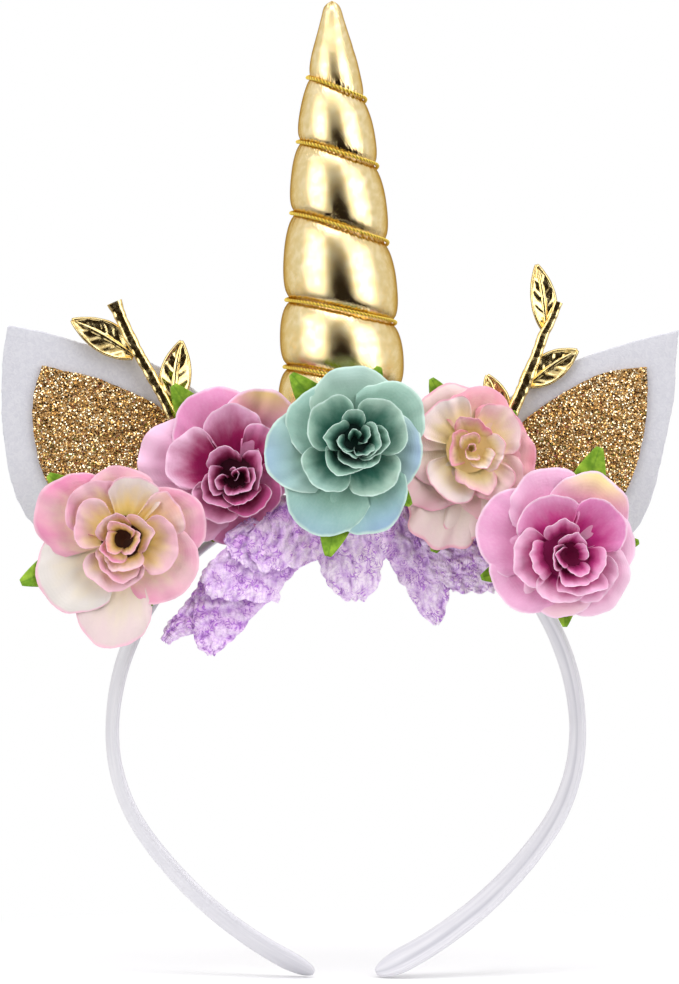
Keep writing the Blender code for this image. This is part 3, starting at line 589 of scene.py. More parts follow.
# %% [markdown]
# Fine gathers. Where the cord pulls the cover in, the real cloth is crimped in creases finer than the grid
# that moved above. A denser grid would make the simulation slow, so the result is divided once more and
# the creases are pressed into it along the normals, deepest at the cord and gone within the groove.

# %% Smooth the cover and gather it finely
GATHER_DEEP = 0.14
GATHERS_PER_TURN = 37
finer = horn.modifiers.new("finer", "SUBSURF")
finer.levels = 1
horn = as_plain_mesh(horn, "horn_foil_cloth")
points = read_points(horn.data)
outward = np.empty(len(points) * 3, dtype=np.float32)
horn.data.vertices.foreach_get("normal", outward)
near = read_numbers(horn.data, "near")
running = read_numbers(horn.data, "running")
gathers = GATHER_DEEP * np.exp(-near * 6.0) * waver(running * GATHERS_PER_TURN, 21, 3) * (near < 0.6)
points += (gathers * MM)[:, None] * outward.reshape(-1, 3)
horn.data.vertices.foreach_set("co", points.ravel())
# groove marks where the foil gets its painted shade, strongest at the cord and fading across each turn.
groove = horn.data.attributes.new("groove", "FLOAT", "POINT")
groove.data.foreach_set("value", np.exp(-near * 9).astype(np.float32))
horn.data.shade_smooth()
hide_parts("horn")
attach(horn, "root")
print("horn:", len(horn.data.polygons), "faces")

# %% [markdown]
# Cord. A thin twisted thread lies in the groove and shows as a bright line of slanting strokes. Two
# strands are swept along the groove, each winding round the cord's middle, because a single tube with a
# striped colour looks painted when it is seen close.

# %% Gold thread finish
thread_gold, tree, shader = finish("gold_cord", Metallic=0.25, Roughness=0.38)
fibres = cloud(tree, on_cloth(tree), 3.0, 3.0)
bright = dye(tree, ease(tree, fibres, 0.35, 0.65), shade(255, 208, 48), shade(255, 236, 104))
# Painted shade: the strands turn dark brown where they press against each other at the cord's middle.
bright = dye(tree, kept(tree, "sunk"), bright, shade(88, 38, 4))
join(tree, bright, shader.inputs["Base Color"])
raise_surface(tree, shader, fibres, 0.00006, 0.6)

# %% The cord's way round the horn
CORD_DEPTH = 0.13
CORD_SEAT = 0.45
angle = np.linspace(-0.2 * 2 * np.pi, 6.7 * 2 * np.pi, 1500)
angle = angle[winding(angle) <= 5.6]
z = np.interp(winding(angle), TURN_AT, TURN_HEIGHT)
x, y, z = horn_place(angle, horn_girth(z) * (1 - CORD_DEPTH) + CORD_SEAT, z)
line = np.stack([x, y, z], axis=-1)
forward = np.gradient(line, axis=0)
step = np.linalg.norm(forward, axis=1)
forward = forward / step[:, None]
gone = np.cumsum(step)
outwards = np.stack([-np.cos(angle), -np.sin(angle), 0 * angle], axis=-1)
outwards = outwards - (outwards * forward).sum(axis=1)[:, None] * forward
outwards = outwards / np.linalg.norm(outwards, axis=1)[:, None]
upwards = np.cross(forward, outwards)
print("cord:", round(float(gone[-1])), "mm long")

# %% Twist two strands into the cord
STRAND = 0.26
STRAND_OFF_MIDDLE = 0.24
TWIST_LENGTH = 2.1
ring = np.linspace(0, 2 * np.pi, 8)
cord_cloth = Sheaf()
for strand in range(2):
    lay = 2 * np.pi * (gone / TWIST_LENGTH + strand / 2)
    lean_off = np.cos(lay)[:, None] * outwards + np.sin(lay)[:, None] * upwards
    middle = line + STRAND_OFF_MIDDLE * lean_off
    tube = (
        middle[:, None, :]
        + STRAND * np.cos(ring)[None, :, None] * outwards[:, None, :]
        + STRAND * np.sin(ring)[None, :, None] * upwards[:, None, :]
    )
    from_middle = np.linalg.norm(tube - line[:, None, :], axis=2)
    # sunk grows towards the cord's middle, where the finish paints shade between the strands.
    sunk = np.clip(1.0 - from_middle / (STRAND + STRAND_OFF_MIDDLE), 0, 1) ** 0.75
    x, y, z = np.moveaxis(tube, -1, 0)
    cord_cloth.add(x, y, z, gone[:, None], ring[None, :] * STRAND, sunk=sunk)
cord = cord_cloth.make("horn_cord_twisted", thread_gold)
tidy_mesh(cord.data, 0.001, close=True)
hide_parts("horn_cord")
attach(cord, "root")
print("cord:", len(cord.data.polygons), "faces")


# %% [markdown]
# Ears. Each ear is cut from thick white felt, with a smaller cut of glitter sheet glued to its front. The
# outline is read from the solid, so that the ear stays where it stands, and it is drawn again as a filled
# curve with a rounded edge and the slight unevenness of scissors.

# %% Felt finish
felt, tree, shader = finish("felt", Roughness=0.95, Sheen_Weight=0.4, Specular_IOR_Level=0.15)
fluff = cloud(tree, on_object(tree), 900.0, 6.0, 1.2)
matted = cloud(tree, on_object(tree), 2600.0, 4.0)
clumps = dye(tree, ease(tree, fluff, 0.3, 0.7), shade(206, 206, 215), shade(216, 216, 223))
join(tree, clumps, shader.inputs["Base Color"])
fuzz = reckon(tree, "ADD", fluff, reckon(tree, "MULTIPLY", matted, 0.8))
raise_surface(tree, shader, fuzz, 0.00018, 0.3)


# %% Read an outline from a solid
def front_outline(node):
    """The outline of a flat solid's front face, as points in X and Z, in millimetres and in order."""
    work = bmesh.new()
    work.from_mesh(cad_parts[node].data)
    bmesh.ops.remove_doubles(work, verts=work.verts, dist=1e-6)
    work.normal_update()
    front = [face for face in work.faces if face.normal.y < -0.9]
    onward = {}
    for face in front:
        for loop in face.loops:
            other = [near for near in loop.edge.link_faces if near is not face]
            if not other or other[0].normal.y > -0.9:
                onward[loop.vert] = loop.link_loop_next.vert
    start = next(iter(onward))
    walk = [start]
    while onward[walk[-1]] is not start:
        walk.append(onward[walk[-1]])
    outline = np.array([(vert.co.x, vert.co.z) for vert in walk]) / MM
    work.free()
    return outline


# %% Cut a sheet to an outline
def cut_sheet(name, outline, y, thickness, edge, material, seed):
    """A flat cut piece with rounded edges: its outline drawn finely, a little uneven, and filled."""
    closed = np.vstack([outline, outline[:1]])
    length = np.concatenate([[0], np.cumsum(np.linalg.norm(np.diff(closed, axis=0), axis=1))])
    fine = np.linspace(0, length[-1], int(length[-1] / 0.7), endpoint=False)
    x = np.interp(fine, length, closed[:, 0])
    z = np.interp(fine, length, closed[:, 1])
    uneven = 0.12 * waver(fine / 2.1, seed) + 0.08 * waver(fine / 0.9, seed + 1)
    curve = bpy.data.curves.new(name, "CURVE")
    curve.dimensions = "2D"
    curve.fill_mode = "BOTH"
    curve.extrude = (thickness / 2 - edge) * MM
    curve.bevel_depth = edge * MM
    curve.bevel_resolution = 3
    curve.offset = -edge * MM
    spline = curve.splines.new("POLY")
    spline.points.add(len(fine) - 1)
    for knot, across, up in zip(spline.points, x + uneven, z + uneven):
        knot.co = (across * MM, up * MM, 0.0, 1.0)
    spline.use_cyclic_u = True
    drawn = bpy.data.objects.new(name, curve)
    drawn.rotation_euler = (math.radians(90), 0, 0)
    drawn.location = (0, y * MM, 0)
    bpy.context.scene.collection.objects.link(drawn)
    made = as_plain_mesh(drawn, name)
    tidy_mesh(made.data, 0.001)
    made.data.materials.clear()
    made.data.materials.append(material)
    made.data.shade_smooth()
    made.data.set_sharp_from_angle(angle=math.radians(60))
    return made


# %% Cut the ears
FELT_THICK = 2.0
FELT_EDGE = 0.45
for side in ("left", "right"):
    ear = cut_sheet(f"ear_{side}_felt", front_outline(f"ear_{side}"), 0.0, FELT_THICK, FELT_EDGE, felt, 31)
    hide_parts(f"ear_{side}")
    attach(ear, "root")
    print(ear.name, len(ear.data.polygons), "faces")

# %% [markdown]
# Glitter. Real glitter sheet is thousands of tiny foil hexagons that lie at all angles, and it twinkles
# because each one mirrors another part of the room. A noisy bump gives a grainy gold, but the real chips
# catch the light one by one, so Geometry Nodes scatters them over the sheet: points that keep a least
# distance, a hexagon on each, and a random tilt.

# %% Glitter finishes
chip_gold, tree, shader = finish("glitter_chips", Metallic=1.0, Roughness=0.12)
chip = kept(tree, "chip")
mixed = dye(tree, ease(tree, chip, 0.1, 0.9), shade(216, 166, 96), shade(255, 242, 206))
join(tree, mixed, shader.inputs["Base Color"])

backing, tree, shader = finish("glitter", Metallic=0.7, Roughness=0.5)
grains = put(tree, "ShaderNodeTexVoronoi", {"Vector": on_object(tree), "Scale": 2600.0})
speckle = put(tree, "ShaderNodeSeparateColor", {"Color": grains.outputs["Color"]}).outputs["Red"]
brown = dye(tree, speckle, shade(66, 38, 16), shade(216, 168, 100))
join(tree, brown, shader.inputs["Base Color"])
raise_surface(tree, shader, grains.outputs["Distance"], 0.0003, 0.8)

# %% The chip tree's named inputs
chips_tree = bpy.data.node_groups.new("scatter chips", "GeometryNodeTree")
chips_tree.interface.new_socket("Geometry", in_out="INPUT", socket_type="NodeSocketGeometry")
chips_tree.interface.new_socket("Geometry", in_out="OUTPUT", socket_type="NodeSocketGeometry")
chip_inputs = {}
for label, kind, value in (
    ("Gap", "Float", 0.00032),
    ("Chip", "Float", 0.00024),
    ("Tilt", "Float", 0.75),
    ("Seed", "Int", 5),
):
    socket = chips_tree.interface.new_socket(label, in_out="INPUT", socket_type="NodeSocket" + kind)
    socket.default_value = value
    chip_inputs[label] = socket.identifier
socket = chips_tree.interface.new_socket("Material", in_out="INPUT", socket_type="NodeSocketMaterial")
chip_inputs["Material"] = socket.identifier
entry = chips_tree.nodes.new("NodeGroupInput").outputs
print("chip inputs:", chip_inputs)

# %% Strew points over the sheet's front
facing = put(chips_tree, "GeometryNodeInputNormal").outputs[0]
frontal = put(chips_tree, "ShaderNodeSeparateXYZ", {"Vector": facing}).outputs["Y"]
points = put(
    chips_tree,
    "GeometryNodeDistributePointsOnFaces",
    {"Mesh": entry["Geometry"], "Distance Min": entry["Gap"], "Density Max": 1.2e7, "Seed": entry["Seed"],
     "Selection": reckon(chips_tree, "LESS_THAN", frontal, -0.8)},
    distribute_method="POISSON",
)

# %% Tilt a hexagon on each point
hexagon = put(
    chips_tree,
    "GeometryNodeMeshCircle",
    {"Vertices": 6, "Radius": entry["Chip"]},
    fill_type="NGON",
)
tilt = put(chips_tree, "FunctionNodeRandomValue", {"Seed": entry["Seed"]}, data_type="FLOAT_VECTOR")
steep = reckon(chips_tree, "MULTIPLY", entry["Tilt"], -1.0)
least = put(chips_tree, "ShaderNodeCombineXYZ", {"X": steep, "Y": steep, "Z": -3.0}).outputs[0]
most = put(chips_tree, "ShaderNodeCombineXYZ", {"X": entry["Tilt"], "Y": entry["Tilt"], "Z": 3.0})
join(chips_tree, least, tilt.inputs[0])
join(chips_tree, most.outputs[0], tilt.inputs[1])
turned = put(
    chips_tree,
    "FunctionNodeRotateRotation",
    {"Rotation": points.outputs["Rotation"], "Rotate By": tilt.outputs[0]},
    rotation_space="LOCAL",
)
size = put(chips_tree, "FunctionNodeRandomValue", data_type="FLOAT")
join(chips_tree, 0.65, size.inputs[2])
join(chips_tree, 1.15, size.inputs[3])
laid = put(
    chips_tree,
    "GeometryNodeInstanceOnPoints",
    {"Points": points.outputs["Points"], "Instance": hexagon.outputs["Mesh"],
     "Rotation": turned.outputs["Rotation"], "Scale": size.outputs[1]},
)

# %% Give each chip its colour and make it real
colour_of_chip = put(chips_tree, "FunctionNodeRandomValue", {"Seed": 9}, data_type="FLOAT")
stored = put(
    chips_tree,
    "GeometryNodeStoreNamedAttribute",
    {"Geometry": laid.outputs["Instances"], "Name": "chip", "Value": colour_of_chip.outputs[1]},
    data_type="FLOAT",
    domain="INSTANCE",
)
real = put(chips_tree, "GeometryNodeRealizeInstances", {"Geometry": stored.outputs["Geometry"]})
gilded = put(
    chips_tree,
    "GeometryNodeSetMaterial",
    {"Geometry": real.outputs["Geometry"], "Material": entry["Material"]},
)
join(chips_tree, gilded.outputs["Geometry"], chips_tree.nodes.new("NodeGroupOutput").inputs[0])
print("chip tree:", len(chips_tree.nodes), "nodes")

# %% Cut the glitter sheets and scatter the chips
FELT_FRONT = -FELT_THICK / 2
GLUE = 0.4
GLITTER_THICK = 0.8
GLITTER_EDGE = 0.1
GLITTER_MIDDLE = FELT_FRONT - GLUE - GLITTER_THICK / 2
CHIPS_OFF_SHEET = 0.1
for side, seed in (("left", 5), ("right", 6)):
    node = f"ear_{side}_glitter"
    outline = front_outline(node)
    sheet = cut_sheet(f"{node}_sheet", outline, GLITTER_MIDDLE, GLITTER_THICK, GLITTER_EDGE, backing, 41)
    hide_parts(node)
    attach(sheet, "root")
    chips = show(f"{node}_chips", sheet.data.copy())
    scatter = chips.modifiers.new("scatter", "NODES")
    scatter.node_group = chips_tree
    scatter[chip_inputs["Seed"]] = seed
    scatter[chip_inputs["Material"]] = chip_gold
    chips = as_plain_mesh(chips, f"{node}_chips_laid")
    chips.data.transform(Matrix.Translation((0, -CHIPS_OFF_SHEET * MM, 0)))
    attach(chips, "root")
    print(chips.name, len(chips.data.polygons), "chips")

# %% [markdown]
# Gilt sprigs. Small twigs of moulded plastic are plated until they mirror the room. A leaf is a pointed
# blade with a raised rib and slanting veins, dished so that its two halves catch different light, and the
# twig has the knots and flat facets of a real one. The relief is in the mesh, because a mirror finish shows
# a bumped surface as noise.

# %% Gilt finish
gilt, tree, shader = finish("gilt", Metallic=1.0, Roughness=0.14)
pits = cloud(tree, on_object(tree), 900.0, 4.0)
tone = dye(tree, ease(tree, pits, 0.3, 0.7), shade(236, 204, 132), shade(250, 230, 172))
join(tree, tone, shader.inputs["Base Color"])
join(tree, ease(tree, pits, 0.3, 0.75, 0.1, 0.28), shader.inputs["Roughness"])
raise_surface(tree, shader, pits, 0.0002, 0.35)

# %% The sprigs' measures
StemPoint = namedtuple("StemPoint", "x z radius")
GiltLeaf = namedtuple("GiltLeaf", "base_x base_z tip_x tip_z width")
LEFT_STEM = [
    StemPoint(-59.6, 51.7, 1.9),
    StemPoint(-58.1, 48.1, 1.6),
    StemPoint(-56.1, 43.7, 1.5),
    StemPoint(-53.5, 38.7, 1.5),
    StemPoint(-51.4, 35.1, 1.4),
    StemPoint(-48.8, 30.4, 1.4),
    StemPoint(-46.6, 26.3, 1.3),
    StemPoint(-43.9, 20.3, 1.3),
    StemPoint(-41.0, 14.3, 1.3),
]
LEFT_LEAVES = [
    GiltLeaf(-54.6, 38.2, -70.8, 47.4, 8.2),
    GiltLeaf(-44.4, 24.6, -42.4, 42.0, 8.0),
]
RIGHT_STEM = [
    StemPoint(55.2, 51.8, 1.1),
    StemPoint(53.4, 47.2, 1.2),
    StemPoint(51.4, 43.4, 1.3),
    StemPoint(49.6, 38.2, 1.5),
    StemPoint(47.9, 34.1, 1.6),
    StemPoint(46.3, 30.1, 1.7),
    StemPoint(43.4, 23.6, 1.6),
    StemPoint(41.0, 18.4, 1.6),
]
RIGHT_LEAVES = [
    GiltLeaf(52.2, 44.6, 49.7, 61.8, 6.4),
    GiltLeaf(47.7, 30.7, 60.3, 39.6, 7.4),
    GiltLeaf(40.6, 20.4, 36.9, 33.2, 6.4),
]
print("gilt leaves:", len(LEFT_LEAVES), "left,", len(RIGHT_LEAVES), "right")


# %% Mould a gilt leaf
def gilt_leaf(sheaf, leaf, y, seed):
    """A dished blade with a rib, slanting veins and a raised rim."""
    along = np.linspace(0, 1, 41)[:, None]
    across = np.linspace(-1, 1, 33)[None, :]
    run, rise = leaf.tip_x - leaf.base_x, leaf.tip_z - leaf.base_z
    length = math.hypot(run, rise)
    half = leaf.width / 2 * np.sin(np.pi * (0.04 + 0.955 * along) ** 0.92) ** 0.8
    bend = 0.5 * np.sin(np.pi * along) * (1 if seed % 2 else -1)
    rib = np.exp(-((across / 0.10) ** 2)) * 0.55
    slant = (along * 5.2 - np.abs(across) * 0.9) % 1.0
    vein = np.exp(-(((slant - 0.5) / 0.16) ** 2)) * 0.3 * np.sin(np.pi * np.clip(np.abs(across), 0, 1))
    rim = 0.35 * across**8
    dish = 0.5 * (1 - across**2)
    depth = y + dish - (rib + vein + rim) * np.sin(np.pi * along) ** 0.5
    side = half * across + bend
    x = leaf.base_x + (run * length * along - rise * side) / length
    z = leaf.base_z + (rise * length * along + run * side) / length
    sheaf.add(x, depth + 0.4 * waver(along * 3 + across, seed), z, length * along, half * across)


# %% Mould a knotted twig
def knotted_twig(sheaf, points, radius_at, seed, sides=17, steps=90):
    """A twig with knots and flats along points (x, y, z), closed to almost nothing at both ends."""
    points = np.asarray(points, float)
    at = np.linspace(0, len(points) - 1, steps)
    rows = range(len(points))
    line = np.stack([smooth_between(at, rows, points[:, axis]) for axis in range(3)], axis=-1)
    forward = np.gradient(line, axis=0)
    forward = forward / np.linalg.norm(forward, axis=1)[:, None]
    across = np.cross(forward, (0.0, 1.0, 0.0))
    across = across / np.linalg.norm(across, axis=1)[:, None]
    front = np.cross(across, forward)
    ring = np.linspace(0, 2 * np.pi, sides)[None, :]
    length = np.concatenate([[0], np.cumsum(np.linalg.norm(np.diff(line, axis=0), axis=1))])
    radius = smooth_between(at, rows, radius_at)[:, None]
    knots = 1 + 0.10 * waver(length[:, None] / 1.7, seed)
    knots = knots + 0.04 * waver(length[:, None] / 0.7 + ring, seed + 1)
    flats = 1 / (np.abs(np.cos(ring)) ** 5 + np.abs(np.sin(ring)) ** 5) ** 0.2
    radius = radius * knots * flats
    radius[0] = radius[-1] = 0.02
    at_ring = np.cos(ring)[..., None] * across[:, None, :] + np.sin(ring)[..., None] * front[:, None, :]
    tube = line[:, None, :] + radius[..., None] * at_ring
    x, y, z = np.moveaxis(tube, -1, 0)
    sheaf.add(x, y, z, length[:, None], ring * 1.3)


# %% Mould the sprigs
BLADE_THICK = 0.7
for name, y, stem, leaves in (
    ("sprig_left", -4.3, LEFT_STEM, LEFT_LEAVES),
    ("sprig_right", -2.9, RIGHT_STEM, RIGHT_LEAVES),
):
    blades = Sheaf()
    for number, leaf in enumerate(leaves):
        gilt_leaf(blades, leaf, y, number)
    blades = thicken(blades.make(f"{name}_blades", gilt), BLADE_THICK)
    blades = as_plain_mesh(blades, f"{name}_blades")
    twig = Sheaf()
    path = [(row.x, y, row.z) for row in stem]
    start = tuple(np.array(path[0]) + 0.02 * (np.array(path[0]) - np.array(path[1])))
    knotted_twig(twig, [start, *path], [stem[0].radius, *[row.radius for row in stem]], 51)
    twig = twig.make(f"{name}_twig", gilt)
    tidy_mesh(twig.data, 0.001, close=True)
    work = bmesh.new()
    work.from_mesh(twig.data)
    work.from_mesh(blades.data)
    joined = bpy.data.meshes.new(f"{name}_gilt")
    work.to_mesh(joined)
    work.free()
    bpy.data.objects.remove(twig)
    bpy.data.objects.remove(blades)
    joined.materials.append(gilt)
    joined.shade_smooth()
    sprig = show(f"{name}_gilt", joined)
    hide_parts(name)
    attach(sprig, "root")
    print(sprig.name, len(sprig.data.polygons), "faces")

# %% [markdown]
# Petal dye and painted shade. The petals of cloth roses are cut from pale cloth and printed or brushed in
# layers: a body colour, a strong one in the throat, a blush that comes in from the rim, a thin line on the
# rim itself, and a blotch here and there. Painted shade is laid over that: the throat colour, partly the
# cloth's own and partly painted shade, comes in deep in the rose, and the bottom of the nest is nearly black
# painted shade in most roses. One effect holds that recipe, and each rose places it with its own colours.
# Every petal carries the numbers that it reads, such as how far along it is.

# %% Build the petal dye and its painted shade
petal_dye_and_shade, takes, gives = effect(
    "petal dye",
    [
        ("Deep", "Color", (0.05, 0.0, 0.02, 1)),
        ("Throat", "Color", (0.1, 0.0, 0.05, 1)),
        ("Body", "Color", (0.8, 0.4, 0.6, 1)),
        ("Pale", "Color", (0.9, 0.7, 0.8, 1)),
        ("Rim", "Color", (0.9, 0.6, 0.7, 1)),
        ("Blush", "Color", (0.8, 0.6, 0.3, 1)),
        ("Blotch", "Color", (0.8, 0.7, 0.3, 1)),
        ("Throat Reach", "Float", 0.5),
        ("Deep Reach", "Float", 0.5),
    ],
    [("Color", "Color"), ("Height", "Float")],
)
print("effect:", petal_dye_and_shade.name)

# %% Brush the body and the blush
cloth_map = on_cloth(petal_dye_and_shade)
along = kept(petal_dye_and_shade, "along")
soft = cloud(petal_dye_and_shade, cloth_map, 0.22, 3.0)
fine = cloud(petal_dye_and_shade, cloth_map, 1.3, 4.0)
drift = reckon(petal_dye_and_shade, "MULTIPLY", reckon(petal_dye_and_shade, "SUBTRACT", soft, 0.5), 0.5)
shifted = reckon(petal_dye_and_shade, "ADD", along, drift)
colour = dye(petal_dye_and_shade, kept(petal_dye_and_shade, "pale"), takes["Body"], takes["Pale"])
colour = dye(petal_dye_and_shade, ease(petal_dye_and_shade, fine, 0.35, 0.8, 0.0, 0.3), colour, takes["Pale"])
washed = reckon(petal_dye_and_shade, "MULTIPLY", ease(petal_dye_and_shade, shifted, 0.25, 1.0), kept(petal_dye_and_shade, "blush"))
colour = dye(petal_dye_and_shade, washed, colour, takes["Blush"])
print("petal dye takes", [socket.name for socket in takes if socket.name])

# %% Brush the throat, paint its shade and the dark bottom, and brush the blotch and the rim
# Painted shade: the throat colour comes in where a ring sits deep in the rose, so part of it stands in for
# shade.
near_hub = reckon(petal_dye_and_shade, "SUBTRACT", takes["Throat Reach"], 0.7)
sunk = ease(petal_dye_and_shade, shifted, near_hub, takes["Throat Reach"], 1.0, 0.0)
sunk = reckon(petal_dye_and_shade, "MULTIPLY", sunk, kept(petal_dye_and_shade, "sunk"))
colour = dye(petal_dye_and_shade, sunk, colour, takes["Throat"])
# Painted shade: the Deep colour darkens the bottom of the nest, nearly black except in petal_blush.
bottom = ease(petal_dye_and_shade, shifted, 0.0, takes["Deep Reach"], 1.0, 0.0)
bottom = reckon(petal_dye_and_shade, "MULTIPLY", bottom, kept(petal_dye_and_shade, "deep"))
colour = dye(petal_dye_and_shade, bottom, colour, takes["Deep"])
colour = dye(petal_dye_and_shade, kept(petal_dye_and_shade, "blotch"), colour, takes["Blotch"])
edge = reckon(petal_dye_and_shade, "ADD", along, reckon(petal_dye_and_shade, "MULTIPLY", drift, 0.12))
edge = ease(petal_dye_and_shade, edge, 0.95, 1.0)
join(petal_dye_and_shade, dye(petal_dye_and_shade, edge, colour, takes["Rim"]), gives["Color"])
veins = put(
    petal_dye_and_shade,
    "ShaderNodeTexWave",
    {"Vector": cloth_map, "Scale": 0.5, "Distortion": 3.0, "Detail": 2.0},
)
lines = reckon(petal_dye_and_shade, "MULTIPLY", veins.outputs["Fac"], 0.25)
join(petal_dye_and_shade, reckon(petal_dye_and_shade, "ADD", fine, lines), gives["Height"])
print("petal dye:", len(petal_dye_and_shade.nodes), "nodes")

# %% Colour and shade the five cloths
DyeAndShade = namedtuple("DyeAndShade", "name deep throat body pale rim blush blotch throat_reach deep_reach")
# deep is the bottom of the nest, nearly black painted shade except the pale yellow of petal_blush, and
# throat is partly the cloth's own colour and partly painted shade deep in the rose.
DYES_AND_SHADES = [
    DyeAndShade("petal_cream", (58, 26, 16), (254, 224, 128), (244, 232, 218), (224, 220, 214), (242, 192, 210),
        (230, 118, 174), (248, 164, 130), 0.95, 0.45),
    DyeAndShade("petal_magenta", (70, 2, 36), (178, 20, 104), (246, 170, 218), (252, 210, 238), (252, 210, 236),
        (206, 70, 144), (222, 192, 112), 1.15, 0.85),
    DyeAndShade("petal_mint", (6, 46, 40), (58, 128, 110), (152, 194, 175), (188, 212, 198), (206, 232, 222),
        (156, 198, 200), (144, 172, 226), 1.1, 0.8),
    DyeAndShade("petal_blush", (252, 226, 160), (254, 236, 172), (252, 240, 226), (252, 244, 240), (250, 180, 202),
        (238, 116, 162), (238, 108, 146), 0.95, 0.2),
    DyeAndShade("petal_orchid", (128, 2, 78), (208, 48, 144), (228, 152, 200), (246, 204, 228), (248, 212, 234),
        (218, 104, 176), (248, 230, 152), 1.05, 0.7),
]
petal_cloths = []
for recipe in DYES_AND_SHADES:
    material, tree, shader = finish(recipe.name, Roughness=0.6, Sheen_Weight=0.12, Specular_IOR_Level=0.3)
    # The group's colour holds painted shade: the dark part of the throat and the nearly black bottom of the
    # nest.
    dyed = use(
        tree,
        petal_dye_and_shade,
        Deep=shade(*recipe.deep),
        Throat=shade(*recipe.throat),
        Body=shade(*recipe.body),
        Pale=shade(*recipe.pale),
        Rim=shade(*recipe.rim),
        Blush=shade(*recipe.blush),
        Blotch=shade(*recipe.blotch),
        Throat_Reach=recipe.throat_reach,
        Deep_Reach=recipe.deep_reach,
    )
    join(tree, dyed["Color"], shader.inputs["Base Color"])
    raise_surface(tree, shader, dyed["Height"], 0.0002, 0.25)
    petal_cloths.append(material)
print("petal cloths:", [material.name for material in petal_cloths])

# %% [markdown]
# Leaf green. The leaves are cut from ribbed green cloth and pressed. Their ribs could be drawn in the
# material alone, but each point of a leaf already knows how near it is to a rib, so the same number
# darkens the green there, over a patchy base.

# %% Leaf finish
leaf_green, tree, shader = finish("leaf_green", Roughness=0.6, Specular_IOR_Level=0.3)
ribs = kept(tree, "ribs")
patchy = cloud(tree, on_cloth(tree), 0.4, 3.0)
green = dye(tree, ease(tree, patchy, 0.3, 0.7), shade(104, 148, 28), shade(160, 198, 60))
green = dye(tree, reckon(tree, "MULTIPLY", ribs, 0.5), green, shade(64, 112, 28))
join(tree, green, shader.inputs["Base Color"])
raise_surface(tree, shader, patchy, 0.0002, 0.3)

# %% [markdown]
# Roses. A cloth rose is threaded from the outside in: broad outer petals, a ring of cupped ones that stands
# higher, and a nest of curled ones in the middle. Rings of equal petals look like clay, so each petal here
# has its own rim, a round arc given by its middle, radius and sweep as the photograph shows it, and the
# cloth is stretched from the rose's hub out to that rim, with a roll at the edge, waves and a crease.

# %% What a petal and a rose are made of
# A petal's rim is an arc: its middle from the hub, its radius, the way it faces and how far it sweeps to
# each side in degrees, and how far in front of the hub it stands. Then its dyes and how ruffled it is.
Petal = namedtuple(
    "Petal",
    "x z radius direction half top pale blush blotch ruffle",
    defaults=(0.3, 0.0, 0.0, 0.15),
)
Rose = namedtuple("Rose", "name x z hub_y outer cupped nest leaves")
OUTER_SWEEP = 98
OUTER_TOP = 5.4


def lobe(direction, reach, radius, *dyes):
    """An outer petal that reaches this far from the rose's middle."""
    away = reach - radius
    x = away * math.cos(math.radians(direction))
    z = away * math.sin(math.radians(direction))
    return Petal(x, z, radius, direction, OUTER_SWEEP, OUTER_TOP, *dyes)


